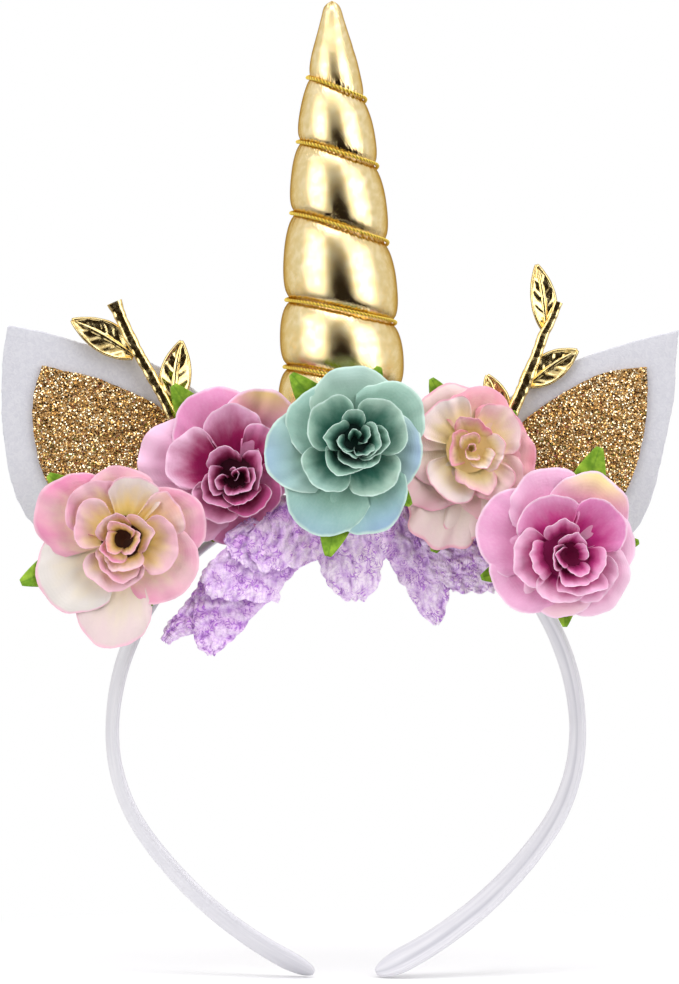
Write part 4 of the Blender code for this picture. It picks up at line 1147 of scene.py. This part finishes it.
# %% The roses' petals
ROSES = [
    Rose(
        "rose_1", -56.4, -9.1, -15.5,
        [lobe(18, 21.6, 10, 0.2, 0.9), lobe(95, 18.8, 10, 0.2, 0.8), lobe(155, 24.5, 11, 0.0, 1.0),
         lobe(213, 25.0, 11.5, 1.0, 0.05), lobe(262, 27.9, 10, 0.8, 0.25), lobe(325, 20.6, 11, 0.2, 0.8)],
        [Petal(-5, 6, 10, 140, 85, 8.6, 0.2, 0.8), Petal(2, 8, 8.6, 75, 80, 8.8, 0.5, 0.2),
         Petal(8.5, 4.5, 7.6, 35, 80, 8.2, 0.2, 0.4, 0.5), Petal(5, -1.5, 9.6, -5, 82, 9.4, 0.3, 0.6),
         Petal(-2, -3, 10.4, 262, 75, 9.0, 0.5, 0.5), Petal(-4.5, 3, 8.8, 165, 75, 9.8, 0.4, 0.6)],
        [Petal(-1, -1.5, 9.6, 255, 66, 9.6, 0.2, 0.7), Petal(-0.5, -1, 8.4, 272, 62, 10.2, 0.1, 0.5),
         Petal(1.0, 0, 7.4, 20, 75, 10.4, 0.3, 0.5), Petal(-1, 0.5, 6.8, 120, 75, 10.8, 0.1, 0.6),
         Petal(-0.6, -0.6, 6.2, 225, 62, 10.6, 0.1, 0.9), Petal(-0.8, 0, 5.4, 330, 65, 11.0, 0.1, 0.7, 0.3),
         Petal(-0.9, 0, 4.8, 80, 78, 11.2, 0.1, 0.8, 0.4),
         Petal(-0.8, -0.2, 4.4, 200, 78, 10.8, 0.1, 0.8, 0.5)],
        [(15, 17), (80, 16), (140, 25.5), (203, 28.8), (291, 18.6)],
    ),
    Rose(
        "rose_2", -28.1, 6.4, -6.5,
        [lobe(20, 15.0, 9, 0.1, 0.3), lobe(66, 24.7, 10, 0.0, 0.2, 0.9), lobe(112, 24.7, 11.5, 0.1, 0.3),
         lobe(161, 26.0, 11, 0.9), lobe(213, 21.0, 10.5, 0.7, 0.2), lobe(266, 17.6, 9, 0.1, 0.6),
         lobe(322, 12.5, 8, 0.0, 0.9)],
        [Petal(-0.3, 10.5, 9.0, 90, 88, 8.4, 0.5, 0.1), Petal(4, 6, 8.4, 35, 75, 8.6, 0.2, 0.4),
         Petal(-8.4, 4.2, 9.6, 160, 95, 9.2, 0.9), Petal(-3, -2.4, 9.4, 235, 70, 8.8, 0.5, 0.3),
         Petal(2, -1.5, 8.4, 290, 70, 8.8, 0.0, 1.0)],
        [Petal(-2, 0, 8.4, 225, 66, 10.0, 0.3, 0.3), Petal(0, 0, 8.0, 285, 62, 10.2, 0.0, 0.9),
         Petal(0.5, 1, 7.6, 10, 66, 10.4, 0.2), Petal(-1.5, 2, 7.2, 110, 68, 10.8, 0.3),
         Petal(-2.4, 0.4, 5.6, 190, 72, 10.8, 0.3), Petal(0.6, 0.2, 5.2, 330, 75, 10.9, 0.1),
         Petal(1.4, 0, 3.0, 60, 110, 10.4, 0.2), Petal(-3.2, -1.0, 2.4, 160, 110, 10.8, 0.3),
         Petal(-0.8, -1.2, 3.6, 262, 70, 10.4, 0.1), Petal(-1.0, 0.8, 2.2, 20, 95, 9.8, 0.1)],
        [(40, 15), (124, 29.0), (190, 17), (249, 17.5), (330, 14)],
    ),
    Rose(
        "rose_3", 2.0, 14.2, -23.0,
        [lobe(40, 20.8, 10, 0.3, 0.2), lobe(88, 21.0, 11, 0.6, 0.0, 0.1), lobe(138, 19.0, 10, 0.2, 0.4),
         lobe(183, 22.6, 11, 0.4, 0.2, 0.5), lobe(240, 24.0, 11.5, 0.1, 0.2, 0.35),
         lobe(287, 22.6, 10.5, 0.1, 0.3, 0.6),
         lobe(350, 18.0, 11, 0.8, 0.2, 0.6)],
        [Petal(-2.5, 4.4, 9.4, 148, 84, 9.4, 0.3), Petal(4.2, 3.4, 10.0, 30, 86, 9.2, 0.5),
         Petal(-4, -1.5, 10.4, 232, 66, 8.8, 0.3, 0.0, 0.1), Petal(3, -2.5, 10.6, 300, 66, 8.8, 0.6)],
        [Petal(-1, 2.8, 10.6, 262, 62, 10.4, 0.3), Petal(0.6, 3.0, 9.8, 275, 56, 10.9, 0.4),
         Petal(1.4, 2.2, 7.8, 335, 66, 10.9, 0.3), Petal(1.0, 2.0, 6.8, 350, 70, 11.4, 0.4),
         Petal(-0.8, 2.2, 6.4, 160, 68, 11.0, 0.2), Petal(0.4, 6.4, 3.8, 92, 105, 10.6, 0.4),
         Petal(0.2, 2.4, 5.2, 232, 60, 11.0, 0.5), Petal(1.8, 1.6, 4.4, 290, 62, 10.7, 0.4),
         Petal(-0.6, 2.2, 3.8, 215, 70, 10.2, 0.2), Petal(1.4, 3.4, 3.4, 350, 80, 9.8, 0.2),
         Petal(0.6, 2.8, 2.0, 100, 110, 9.4, 0.1)],
        [(10, 16), (72, 21.6), (130, 24.4), (190, 17), (257, 28.4), (315, 20.8)],
    ),
    Rose(
        "rose_4", 32.0, 13.8, -6.5,
        [lobe(20, 15.4, 9, 0.2, 0.9), lobe(70, 16.8, 9.5, 0.1, 1.0), lobe(122, 18.2, 10.5, 0.7, 0.4),
         lobe(182, 16.6, 9.5, 0.7, 0.5), lobe(216, 20.6, 9, 0.8, 0.6),
         lobe(250, 27.2, 10, 0.7, 0.35, 0.0, 0.9), lobe(272, 22.5, 8, 0.5, 0.2, 0.0, 1.0),
         lobe(300, 19.0, 10, 0.3, 0.5), lobe(346, 17.6, 9, 0.4, 0.4, 0.7)],
        [Petal(-3.5, 5, 9.2, 125, 80, 8.0, 0.9, 0.2), Petal(5.0, 3.6, 9.0, 30, 82, 8.2, 0.5, 0.5),
         Petal(-2.5, -4, 9.6, 235, 72, 8.2, 0.9, 0.2), Petal(4, -5, 8.4, 300, 70, 7.8, 0.6, 0.5)],
        [Petal(1.5, -2.0, 9.6, 265, 58, 9.2, 0.6, 0.7), Petal(2.0, -0.5, 8.0, 355, 62, 9.8, 0.7, 0.3),
         Petal(1.0, 1.0, 7.8, 85, 62, 10.0, 0.2, 1.0), Petal(1.2, 0.5, 7.4, 172, 66, 10.4, 0.1, 1.0),
         Petal(1.6, -0.6, 5.4, 310, 66, 10.6, 0.5, 0.2), Petal(0.8, 0.6, 4.2, 110, 76, 10.8, 0.3, 0.7),
         Petal(1.0, -0.4, 2.8, 235, 90, 10.6, 0.3, 0.4), Petal(0.6, 0.3, 1.3, 60, 165, 11.0, 0.6, 0.5)],
        [(39, 15.6), (118, 20.8), (190, 12), (251, 28.0), (323, 15.0)],
    ),
    Rose(
        "rose_5", 56.3, -12.9, -15.5,
        [lobe(15, 18.0, 10.5, 0.8), lobe(60, 22.4, 10.5, 0.3, 0.1, 0.9), lobe(108, 23.0, 10.5, 0.5),
         lobe(156, 24.2, 11.5, 0.3, 0.1), lobe(207, 20.6, 10.5, 0.4), lobe(262, 16.4, 10, 0.9, 0.0, 0.15),
         lobe(318, 18.6, 10.5, 0.9)],
        [Petal(-3, 5.4, 10.4, 112, 84, 8.8, 0.3, 0.3), Petal(6.2, 5.0, 9.8, 38, 84, 8.6, 0.1, 0.6),
         Petal(-4.5, -0.5, 9.8, 185, 74, 9.2, 0.6), Petal(4.5, -4, 9.2, 320, 74, 8.6, 0.7),
         Petal(-0.5, -4.5, 8.8, 255, 66, 8.8, 0.8)],
        [Petal(3.0, -3.0, 8.8, 275, 72, 10.2, 0.6), Petal(3.2, -1.6, 7.8, 330, 66, 10.6, 0.3),
         Petal(-1.5, 0.5, 9.0, 198, 50, 10.4, 0.5), Petal(-0.3, 2.4, 7.2, 98, 64, 10.8, 0.4),
         Petal(2.2, -2.2, 6.8, 262, 62, 10.8, 0.5), Petal(1.2, -0.8, 5.6, 175, 62, 11.2, 0.3),
         Petal(1.8, 0.8, 5.0, 80, 80, 11.0, 0.3), Petal(2.6, -1.4, 4.8, 280, 60, 10.6, 0.2),
         Petal(1.0, -0.6, 3.8, 182, 80, 10.4, 0.1), Petal(3.0, 0.0, 3.2, 20, 80, 10.0, 0.2)],
        [(9, 19.2), (72, 28.6), (135, 18), (196, 22.4), (270, 18.8)],
    ),
]
print("petals:", {rose.name: len(rose.outer + rose.cupped + rose.nest) for rose in ROSES})

# %% [markdown]
# Stretching a petal. Cloth could be draped over a form, but a petal that is pressed and glued keeps the
# shape it was given. So its grid runs from a foot at the hub out to its rim, and a ring of the rose says
# how its petals do that: where the foot lies (low, foot, carry), how steeply they rise, how much the rim
# rolls back, how far the ends fall and tuck in, how much throat colour and painted shade they take deep
# in the rose, and how far they coil or fold.

# %% The three rings of a rose
Ring = namedtuple("Ring", "low foot carry steep roll fall sunk deep coil tuck angular")
OUTER = Ring(0.2, 2.4, 0.0, 0.75, 1.1, 1.4, 0.3, 0.0, 0.0, 0.0, 0.0)
CUPPED = Ring(1.4, 2.6, 0.0, 1.5, 0.9, 2.2, 1.0, 0.35, 0.08, 0.3, 0.15)
NEST = Ring(2.2, 0.4, 0.5, 1.0, 0.45, 6.2, 1.0, 1.0, 0.2, 0.32, 0.5)
print("rings:", OUTER, CUPPED, NEST, sep="\n")


# %% Stretch a petal from the hub to its rim
def petal_rim(petal, ring, side, direction, ruffle, seed):
    """How far the rim lies from the petal's middle: cut a little uneven, folded, tucked and coiled."""
    torn = 0.5 * waver(side * 2.3, seed) + 0.12 * waver(side * 9, seed + 5, 3)
    torn = torn + 0.07 * waver(side * 24, seed + 6, 3)
    corners = 4 + seed % 2
    corner = np.mod(direction + seed, 2 * np.pi / corners) - np.pi / corners
    folded = 1 - ring.angular * (1 - 0.86 / np.cos(corner))
    tucked = 1 - ring.tuck * side**6
    coiled = 1 + ring.coil * (side - 1) / 2
    return petal.radius * folded * tucked * coiled + (torn + 0.5 * ruffle) * min(petal.radius / 7, 1.3)


def stretch_petal(sheaf, rose, petal, ring, seed):
    """Adds one petal's grid of points to the rose's cloth."""
    side = np.linspace(-1, 1, 48)[None, :]
    along = np.linspace(0, 1, 26)[:, None]
    direction = np.radians(petal.direction + petal.half * side)
    ruffle = petal.ruffle * np.sin(side * 13 + seed)
    rim = petal_rim(petal, ring, side, direction, ruffle, seed)
    foot = ring.foot if ring.carry == 0 else petal.radius * ring.foot
    narrow = np.radians(petal.direction + petal.half * side * (0.55 if ring.carry == 0 else 1.0))
    base_x = petal.x * ring.carry + foot * np.cos(narrow)
    base_z = petal.z * ring.carry + foot * np.sin(narrow)
    buckle = 0.35 * np.sin(np.pi * along) * waver(side * 3, seed + 1)
    out = along + buckle / petal.radius
    x = base_x + (petal.x + rim * np.cos(direction) - base_x) * out
    z = base_z + (petal.z + rim * np.sin(direction) - base_z) * out
    top = petal.top - ring.low - ring.fall * side**4
    height = ring.low + top * along**ring.steep
    rolled = ring.roll * np.clip((along - 0.8) / 0.2, 0, 1) ** 2 * (1 + 0.9 * waver(side * 3, seed + 3))
    waves = 0.6 * along**2.5 * waver(side * 5, seed + 2) + ruffle * along**3
    folds = 0.5 * waver(side * 4 + along, seed + 7) * along * (1.2 - along)
    over = (0.9 if ring is OUTER else 0.5) * side * along
    crease = 0.3 * np.exp(-(((side - 0.15) / 0.12) ** 2)) * np.sin(np.pi * along)
    spot = petal.blotch * np.exp(-(((side - 0.1) / 0.5) ** 2)) * np.clip((along - 0.55) / 0.4, 0, 1)
    sheaf.add(
        rose.x + x,
        rose.hub_y - (height - rolled + waves + folds + over - crease),
        rose.z + z,
        along * petal.radius * 1.4 + seed * 3,
        np.radians(petal.half) * side * petal.radius + seed * 7,
        along=along,
        pale=petal.pale,
        blush=petal.blush * (0.75 + 0.25 * waver(side * 2, seed + 4)),
        blotch=spot,
        sunk=ring.sunk,
        deep=ring.deep,
    )


# %% Close the throat and sew a rose
THROAT_RADIUS = 6.0
THROAT_HEIGHT = 3.4
PETAL_THICK = 0.13


def throat_floor(sheaf, rose):
    """The bottom of the nest, a small dished disc in the Deep colour, nearly black painted shade in most
    roses.
    """
    round_rim = np.linspace(0, 2 * np.pi, 25)[None, :]
    along = np.linspace(0, 1, 5)[:, None]
    sheaf.add(
        rose.x + THROAT_RADIUS * along * np.cos(round_rim),
        rose.hub_y - THROAT_HEIGHT - along,
        rose.z + THROAT_RADIUS * along * np.sin(round_rim),
        along,
        round_rim,
        along=0.0,
        pale=0.0,
        blush=0.0,
        blotch=0.0,
        sunk=1.0,
        deep=1.0,
    )


def sew_rose(number, rose, cloth):
    """All the petals of a rose as one piece of thin cloth."""
    sheaf = Sheaf()
    throat_floor(sheaf, rose)
    rings = ((rose.outer, OUTER), (rose.cupped, CUPPED), (rose.nest, NEST))
    for part, (petals, ring) in enumerate(rings):
        for count, petal in enumerate(petals):
            stretch_petal(sheaf, rose, petal, ring, 1000 * number + 100 * part + 7 * count)
    sewn = thicken(sheaf.make(f"{rose.name}_sewn", cloth), PETAL_THICK)
    sewn = as_plain_mesh(sewn, f"{rose.name}_petals")
    sewn.data.set_sharp_from_angle(angle=math.radians(50))
    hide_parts(f"{rose.name}_outer", f"{rose.name}_inner", f"{rose.name}_heart")
    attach(sewn, "root")
    return sewn


# %% Cut and press the leaves
LEAF_THICK = 0.3
LEAF_SWEEP = 13.5
LEAF_FOOT = 2.6


def sew_leaves(rose):
    """The leaves behind a rose: pointed blades with ribs, in the directions where they peep out."""
    sheaf = Sheaf()
    for count, (direction, reach) in enumerate(rose.leaves):
        along = np.linspace(0, 1, 26)[:, None]
        side = np.linspace(-1, 1, 17)[None, :]
        half = np.radians(LEAF_SWEEP) * np.sin(np.pi * along**0.8 * 0.93 + 0.12) ** 0.8
        radius = LEAF_FOOT + (reach - LEAF_FOOT) * along
        wide = radius.max() * half * side * 0.8
        direct = np.radians(direction)
        cupped = 0.5 * np.abs(side) * np.sin(np.pi * along)
        depth = -1.4 + 0.2 * (radius - 3.0) + cupped + 0.3 * waver(along * 4, count)
        slant = np.abs(np.sin((along * 16 - np.abs(side) * 2.2)))
        ribs = np.exp(-((side / 0.1) ** 2)) + 0.7 * (1 - slant) ** 2
        sheaf.add(
            rose.x + radius * np.cos(direct) - wide * np.sin(direct),
            rose.hub_y - depth,
            rose.z + radius * np.sin(direct) + wide * np.cos(direct),
            radius + count * 9,
            wide,
            ribs=np.clip(ribs, 0, 1),
        )
    leaves = thicken(sheaf.make(f"{rose.name}_leaves", leaf_green), LEAF_THICK)
    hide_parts(f"{rose.name}_calyx")
    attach(leaves, "root")
    print(leaves.name, len(rose.leaves), "leaves")


# %% Sew the five roses
for number, (rose, cloth, recipe) in enumerate(zip(ROSES, petal_cloths, DYES_AND_SHADES), 1):
    petals = sew_rose(number, rose, cloth)
    sew_leaves(rose)
    print(petals.name, len(petals.data.polygons), "faces")

# %% [markdown]
# Stubs. The moulded stub behind each rose is the one piece whose CAD shape is right as it is, a short green
# post that is glued to an ear or, behind the middle rose, to the horn. So the solid stays and only gets a
# finish, a grainy plastic.

# %% Finish the stubs
stub, tree, shader = finish("stem_green", Roughness=0.5)
grain = cloud(tree, on_object(tree), 700.0, 3.0)
join(tree, dye(tree, grain, shade(60, 104, 34), shade(104, 150, 60)), shader.inputs["Base Color"])
raise_surface(tree, shader, grain, 0.0003, 0.4)
for rose in ROSES:
    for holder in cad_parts[f"{rose.name}_stem"].material_slots:
        holder.material = stub

# %% [markdown]
# Lace. A strip of stretch lace is gathered under the roses and hangs in crinkled scallops. Holes could be
# cut in the mesh or by a see-through material, but they are so small that they turn to grey specks from
# afar. So the net's dots, its thread motifs and its ribs are dyed and raised on a closed cloth.

# %% Lace finish
lace, tree, shader = finish("lace", Roughness=0.75, Sheen_Weight=0.15, Specular_IOR_Level=0.25)
cloth_map = on_cloth(tree)
flat = put(tree, "ShaderNodeSeparateXYZ", {"Vector": cloth_map}).outputs
bent = reckon(tree, "MULTIPLY", cloud(tree, cloth_map, 0.3, 2.0), 22.0)
ribs = reckon(tree, "SINE", reckon(tree, "ADD", reckon(tree, "MULTIPLY", flat["X"], 9.0), bent))
patches = cloud(tree, cloth_map, 0.26, 1.0, 0.6)
motif = ease(tree, patches, 0.40, 0.60)
squiggle = cloud(tree, cloth_map, 0.42, 1.0, 2.8)
off_line = reckon(tree, "ABSOLUTE", reckon(tree, "SUBTRACT", squiggle, 0.5))
thread = ease(tree, off_line, 0.02, 0.07, 1.0, 0.0)
thread = reckon(tree, "MULTIPLY", thread, ease(tree, patches, 0.40, 0.55, 1.0, 0.3))
net = put(tree, "ShaderNodeTexVoronoi", {"Vector": cloth_map, "Scale": 1.6, "Randomness": 0.6})
mesh_dots = ease(tree, net.outputs["Distance"], 0.08, 0.2, 1.0, 0.0)

# %% Dye the lace
lilac = dye(tree, kept(tree, "tint"), shade(232, 176, 248), shade(252, 234, 255))
lilac = dye(tree, reckon(tree, "MULTIPLY", motif, 0.55), lilac, shade(250, 236, 255))
lilac = dye(tree, reckon(tree, "MULTIPLY", mesh_dots, 0.4), lilac, shade(186, 124, 224))
lilac = dye(tree, reckon(tree, "MULTIPLY", thread, 0.8), lilac, shade(180, 92, 222))
lilac = dye(tree, reckon(tree, "MULTIPLY", kept(tree, "shadow"), 0.5), lilac, shade(196, 122, 232))
join(tree, lilac, shader.inputs["Base Color"])
raised = reckon(tree, "ADD", reckon(tree, "MULTIPLY", ribs, 0.12), reckon(tree, "MULTIPLY", thread, 1.5))
raised = reckon(tree, "SUBTRACT", raised, reckon(tree, "MULTIPLY", mesh_dots, 0.6))
raise_surface(tree, shader, raised, 0.0003, 0.7)
print("lace finish:", len(tree.nodes), "nodes")

# %% The lace folds' edges
Fold = namedtuple("Fold", "left right top_y bottom_y")
LACE_FOLDS = {
    "lace_left": [
        Fold([(-16, 2), (-21, -4), (-24, -8), (-24, -13), (-21, -17)],
             [(-9.0, 2), (-5.6, -5), (-5.0, -10.0), (-6.6, -13.8), (-11, -15.6)], -7.5, -19.5),
        Fold([(-19, 0.5), (-25.2, -4.2), (-30.4, -8.1), (-30, -11.4), (-28, -14)],
             [(-17, 0), (-20, -5), (-22, -10), (-21, -15), (-22, -18)], -7.0, -17.5),
        Fold([(-27, -8), (-31.5, -12.5), (-35.1, -16.1), (-36.7, -19.5), (-34, -24)],
             [(-14, -12), (-12, -15), (-13, -17.6), (-16.6, -21.6), (-17.2, -25)], -14.0, -17.0),
        Fold([(-33, -14), (-36.7, -19.5), (-38.2, -23), (-38.6, -30), (-38, -36.4), (-35.6, -38.3)],
             [(-18, -18), (-17.2, -23), (-22.6, -27.6), (-27.3, -33.3), (-30.4, -36.1), (-34, -38.5)],
             -13.0, -12.0),
        Fold([(-38, -22), (-40.8, -25.7), (-43.4, -28.9), (-45.5, -31), (-47, -34.6)],
             [(-35, -24), (-37, -28), (-38.5, -33), (-42.1, -34.3), (-45.6, -35.6)], -12.0, -11.5),
    ],
    "lace_middle": [
        Fold([(-6.8, -3), (-6.8, -10), (-6.5, -14.6), (-5.2, -19), (-2.9, -22.4), (-0.3, -24.4)],
             [(11.5, -3), (10.8, -10), (10.0, -14), (8.9, -17), (8.4, -20.8), (4.6, -24.4)], -8.5, -14.8),
    ],
    "lace_right": [
        Fold([(10, 3), (9.6, -4), (10.6, -13), (12.4, -16.2), (14.2, -20), (16.3, -22.3), (19, -27.3),
              (23.0, -30.9)],
             [(20, 3), (21, -4), (25, -10), (27, -15), (27.6, -20), (26.6, -23.5), (25.8, -27.3),
              (24.6, -30.6)], -6.3, -5.0),
        Fold([(17, -4), (20, -10), (23, -16), (25, -20), (28.2, -22.6)],
             [(34, -6), (38, -12), (39.4, -16), (39.6, -20), (38.4, -22.6)], -7.2, -5.6),
    ],
}
print("folds:", {name: len(folds) for name, folds in LACE_FOLDS.items()})

# %% [markdown]
# Gathering. The lace could be draped by a cloth simulation, but each fold is stiff with its own gathers and
# held by its upper edge, so its crinkles are shaped directly, as smooth random hills between the two edges.
# The cuts aren't rectangles, and gathers don't change a cloth's area, so the flat area is measured here.


# %% Gather the lace
LACE_THICK = 0.25
DOWN_STEPS = 110
ACROSS_STEPS = 90
TINTS = {"lace_left": 0.05, "lace_middle": 0.6, "lace_right": 0.3}


def edge_points(points, steps):
    """A fold's edge as two columns, X and Z, along a curve through its points."""
    points = np.array(points, float)
    at = np.linspace(0, len(points) - 1, steps)
    rows = range(len(points))
    return smooth_between(at, rows, points[:, 0])[:, None], smooth_between(at, rows, points[:, 1])[:, None]


def gather_lace(name, folds):
    """(piece, its cloth's area): folds between two edges, with puckers, scallops and a wavy hem."""
    sheaf = Sheaf()
    for count, fold in enumerate(folds):
        seed = 300 + 10 * count + len(name)
        down = np.linspace(0, 1, DOWN_STEPS)[:, None]
        across = np.linspace(0, 1, ACROSS_STEPS)[None, :]
        left_x, left_z = edge_points(fold.left, DOWN_STEPS)
        right_x, right_z = edge_points(fold.right, DOWN_STEPS)
        scallop = 0.5 * np.abs(np.sin(down * 20 + seed)) * (np.abs(2 * across - 1) ** 6)
        x = left_x + (right_x - left_x) * across
        z = left_z + (right_z - left_z) * across
        hem = 0.9 * np.abs(np.sin(across * 8 + seed)) * down**9
        x = x + scallop * np.sign(across - 0.5)
        z = z - hem
        puckers = 0.6 * lumps(x / 3.2, z / 3.2, seed) + 0.25 * lumps(x / 1.3, z / 1.3, seed + 1)
        puckers = puckers + 0.45 * waver(across * 9 + down * 3, seed + 2)
        y = fold.top_y + (fold.bottom_y - fold.top_y) * down**0.8 + puckers
        tint = np.clip(TINTS[name] + 0.75 * down, 0, 1)
        sheaf.add(x, y, z, x + seed, z, shadow=np.clip(puckers * 0.8 + 0.2, 0, 1), tint=tint)
    piece = thicken(sheaf.make(f"{name}_gathered", lace), LACE_THICK)
    area = sheaf.area()
    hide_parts(name)
    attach(piece, "root")
    print(piece.name, round(area * 1e4, 1), "square cm")
    return piece, area


# %% Lay the lace under the roses
LACE_CUTS = {"lace_left": (0.030, 0.070), "lace_middle": (0.022, 0.026), "lace_right": (0.035, 0.035)}
for name, folds in LACE_FOLDS.items():
    piece, area = gather_lace(name, folds)
    width, length = LACE_CUTS[name]
    area = min(area, width * length)

# %% [markdown]
# Floor. The photograph is a cut-out on white. A large sheet of paper would show its horizon from other
# sides, so the floor is a small pale disc that takes the contact shadow and fades into the white. The
# fade is measured from the crown of the head, in metres, so its numbers are larger than on the disc.

# %% Lay the floor
FLOOR_RADIUS = 0.20
FLOOR_GAP = 0.0003
FADE_FROM = 0.14
FADE_TO = 0.225
floor_mesh = bpy.data.meshes.new("floor")
work = bmesh.new()
bmesh.ops.create_circle(work, cap_ends=True, segments=128, radius=FLOOR_RADIUS)
work.to_mesh(floor_mesh)
work.free()
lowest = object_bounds()[0].z
floor_mesh.transform(Matrix.Translation((0, 0, lowest - FLOOR_GAP)))
floor = show("floor", floor_mesh)
paper, tree, shader = finish("floor_paper", Roughness=0.8)
join(tree, (0.92, 0.92, 0.93, 1.0), shader.inputs["Base Color"])
far = put(tree, "ShaderNodeVectorMath", {0: on_object(tree)}, operation="LENGTH").outputs["Value"]
fade = ease(tree, far, FADE_FROM, FADE_TO)
glow = put(tree, "ShaderNodeEmission", {"Color": (1, 1, 1, 1), "Strength": 1.0}).outputs[0]
mixed = put(tree, "ShaderNodeMixShader", {0: fade, 1: shader.outputs[0], 2: glow})
tree.links.new(mixed.outputs[0], tree.nodes["Material Output"].inputs["Surface"])
floor_mesh.materials.append(paper)
print("floor at", round(lowest / MM, 1), "mm")

# %% [markdown]
# Light. Large soft boxes stand at the left, the right and above, and the room behind the camera is dark.
# Gold is only as good as what it mirrors, so the world is bright at the sides and has a dark wedge in
# front, wider towards the floor, and that wedge is what each turn of the horn shows in its middle.

# %% Make the room that the gold mirrors
WEDGE_AT_EYE_LEVEL = 0.68
WEDGE_WIDER_BELOW = 1.6
WEDGE_SOFT = 0.04
world = bpy.data.worlds.new("soft room")
world.use_nodes = True
bpy.context.scene.world = world
tree = world.node_tree
background = tree.nodes["Background"]
direction = put(tree, "ShaderNodeTexCoord").outputs["Generated"]
parts = put(tree, "ShaderNodeSeparateXYZ", {"Vector": direction}).outputs
front = reckon(tree, "MAXIMUM", reckon(tree, "MULTIPLY", parts["Y"], -1.0), 0.0)
aside = reckon(tree, "ABSOLUTE", parts["X"])
narrower = reckon(tree, "MULTIPLY", parts["Z"], WEDGE_WIDER_BELOW)
spread = reckon(tree, "SUBTRACT", WEDGE_AT_EYE_LEVEL, narrower)
spread = reckon(tree, "MAXIMUM", spread, 0.0)
beyond = reckon(tree, "SUBTRACT", aside, reckon(tree, "MULTIPLY", front, spread))
past_dark = ease(tree, beyond, -WEDGE_SOFT, WEDGE_SOFT)
dark = reckon(tree, "MULTIPLY", reckon(tree, "SUBTRACT", 1.0, past_dark), ease(tree, front, 0.0, 0.3))
sides = dye(tree, ease(tree, aside, 0.2, 0.8), (0.44, 0.40, 0.34, 1), (0.86, 0.85, 0.84, 1))
above = dye(tree, ease(tree, parts["Z"], 0.3, 0.8), sides, (1.0, 1.0, 1.02, 1))
below = dye(tree, ease(tree, parts["Z"], -0.15, -0.6), above, (0.3, 0.28, 0.26, 1))
room = dye(tree, dark, below, (0.02, 0.014, 0.01, 1))
seen = put(tree, "ShaderNodeLightPath").outputs["Is Camera Ray"]
join(tree, dye(tree, seen, room, (1, 1, 1, 1)), background.inputs["Color"])
background.inputs["Strength"].default_value = 1.0
print("world:", len(tree.nodes), "nodes")


# %% Light the room
LAMP_AIM = Vector((0.0, 0.0, 0.02))


def soft_box(name, place, size, power):
    """A large soft lamp that looks at the headband and isn't seen itself."""
    data = bpy.data.lights.new(name, "AREA")
    data.shape = "RECTANGLE"
    data.size, data.size_y = size
    data.energy = power
    made = bpy.data.objects.new(name, data)
    made.location = place
    made.rotation_euler = (LAMP_AIM - Vector(place)).to_track_quat("-Z", "Y").to_euler()
    made.visible_camera = False
    bpy.context.scene.collection.objects.link(made)


soft_box("soft_box_left", (-0.90, -0.75, 0.20), (0.9, 1.2), 5.9)
soft_box("soft_box_right", (0.90, -0.75, 0.25), (0.9, 1.2), 6.6)
soft_box("soft_box_above", (0.0, -0.45, 1.0), (1.0, 0.6), 3.6)
print("lights:", [light.name for light in bpy.data.lights])
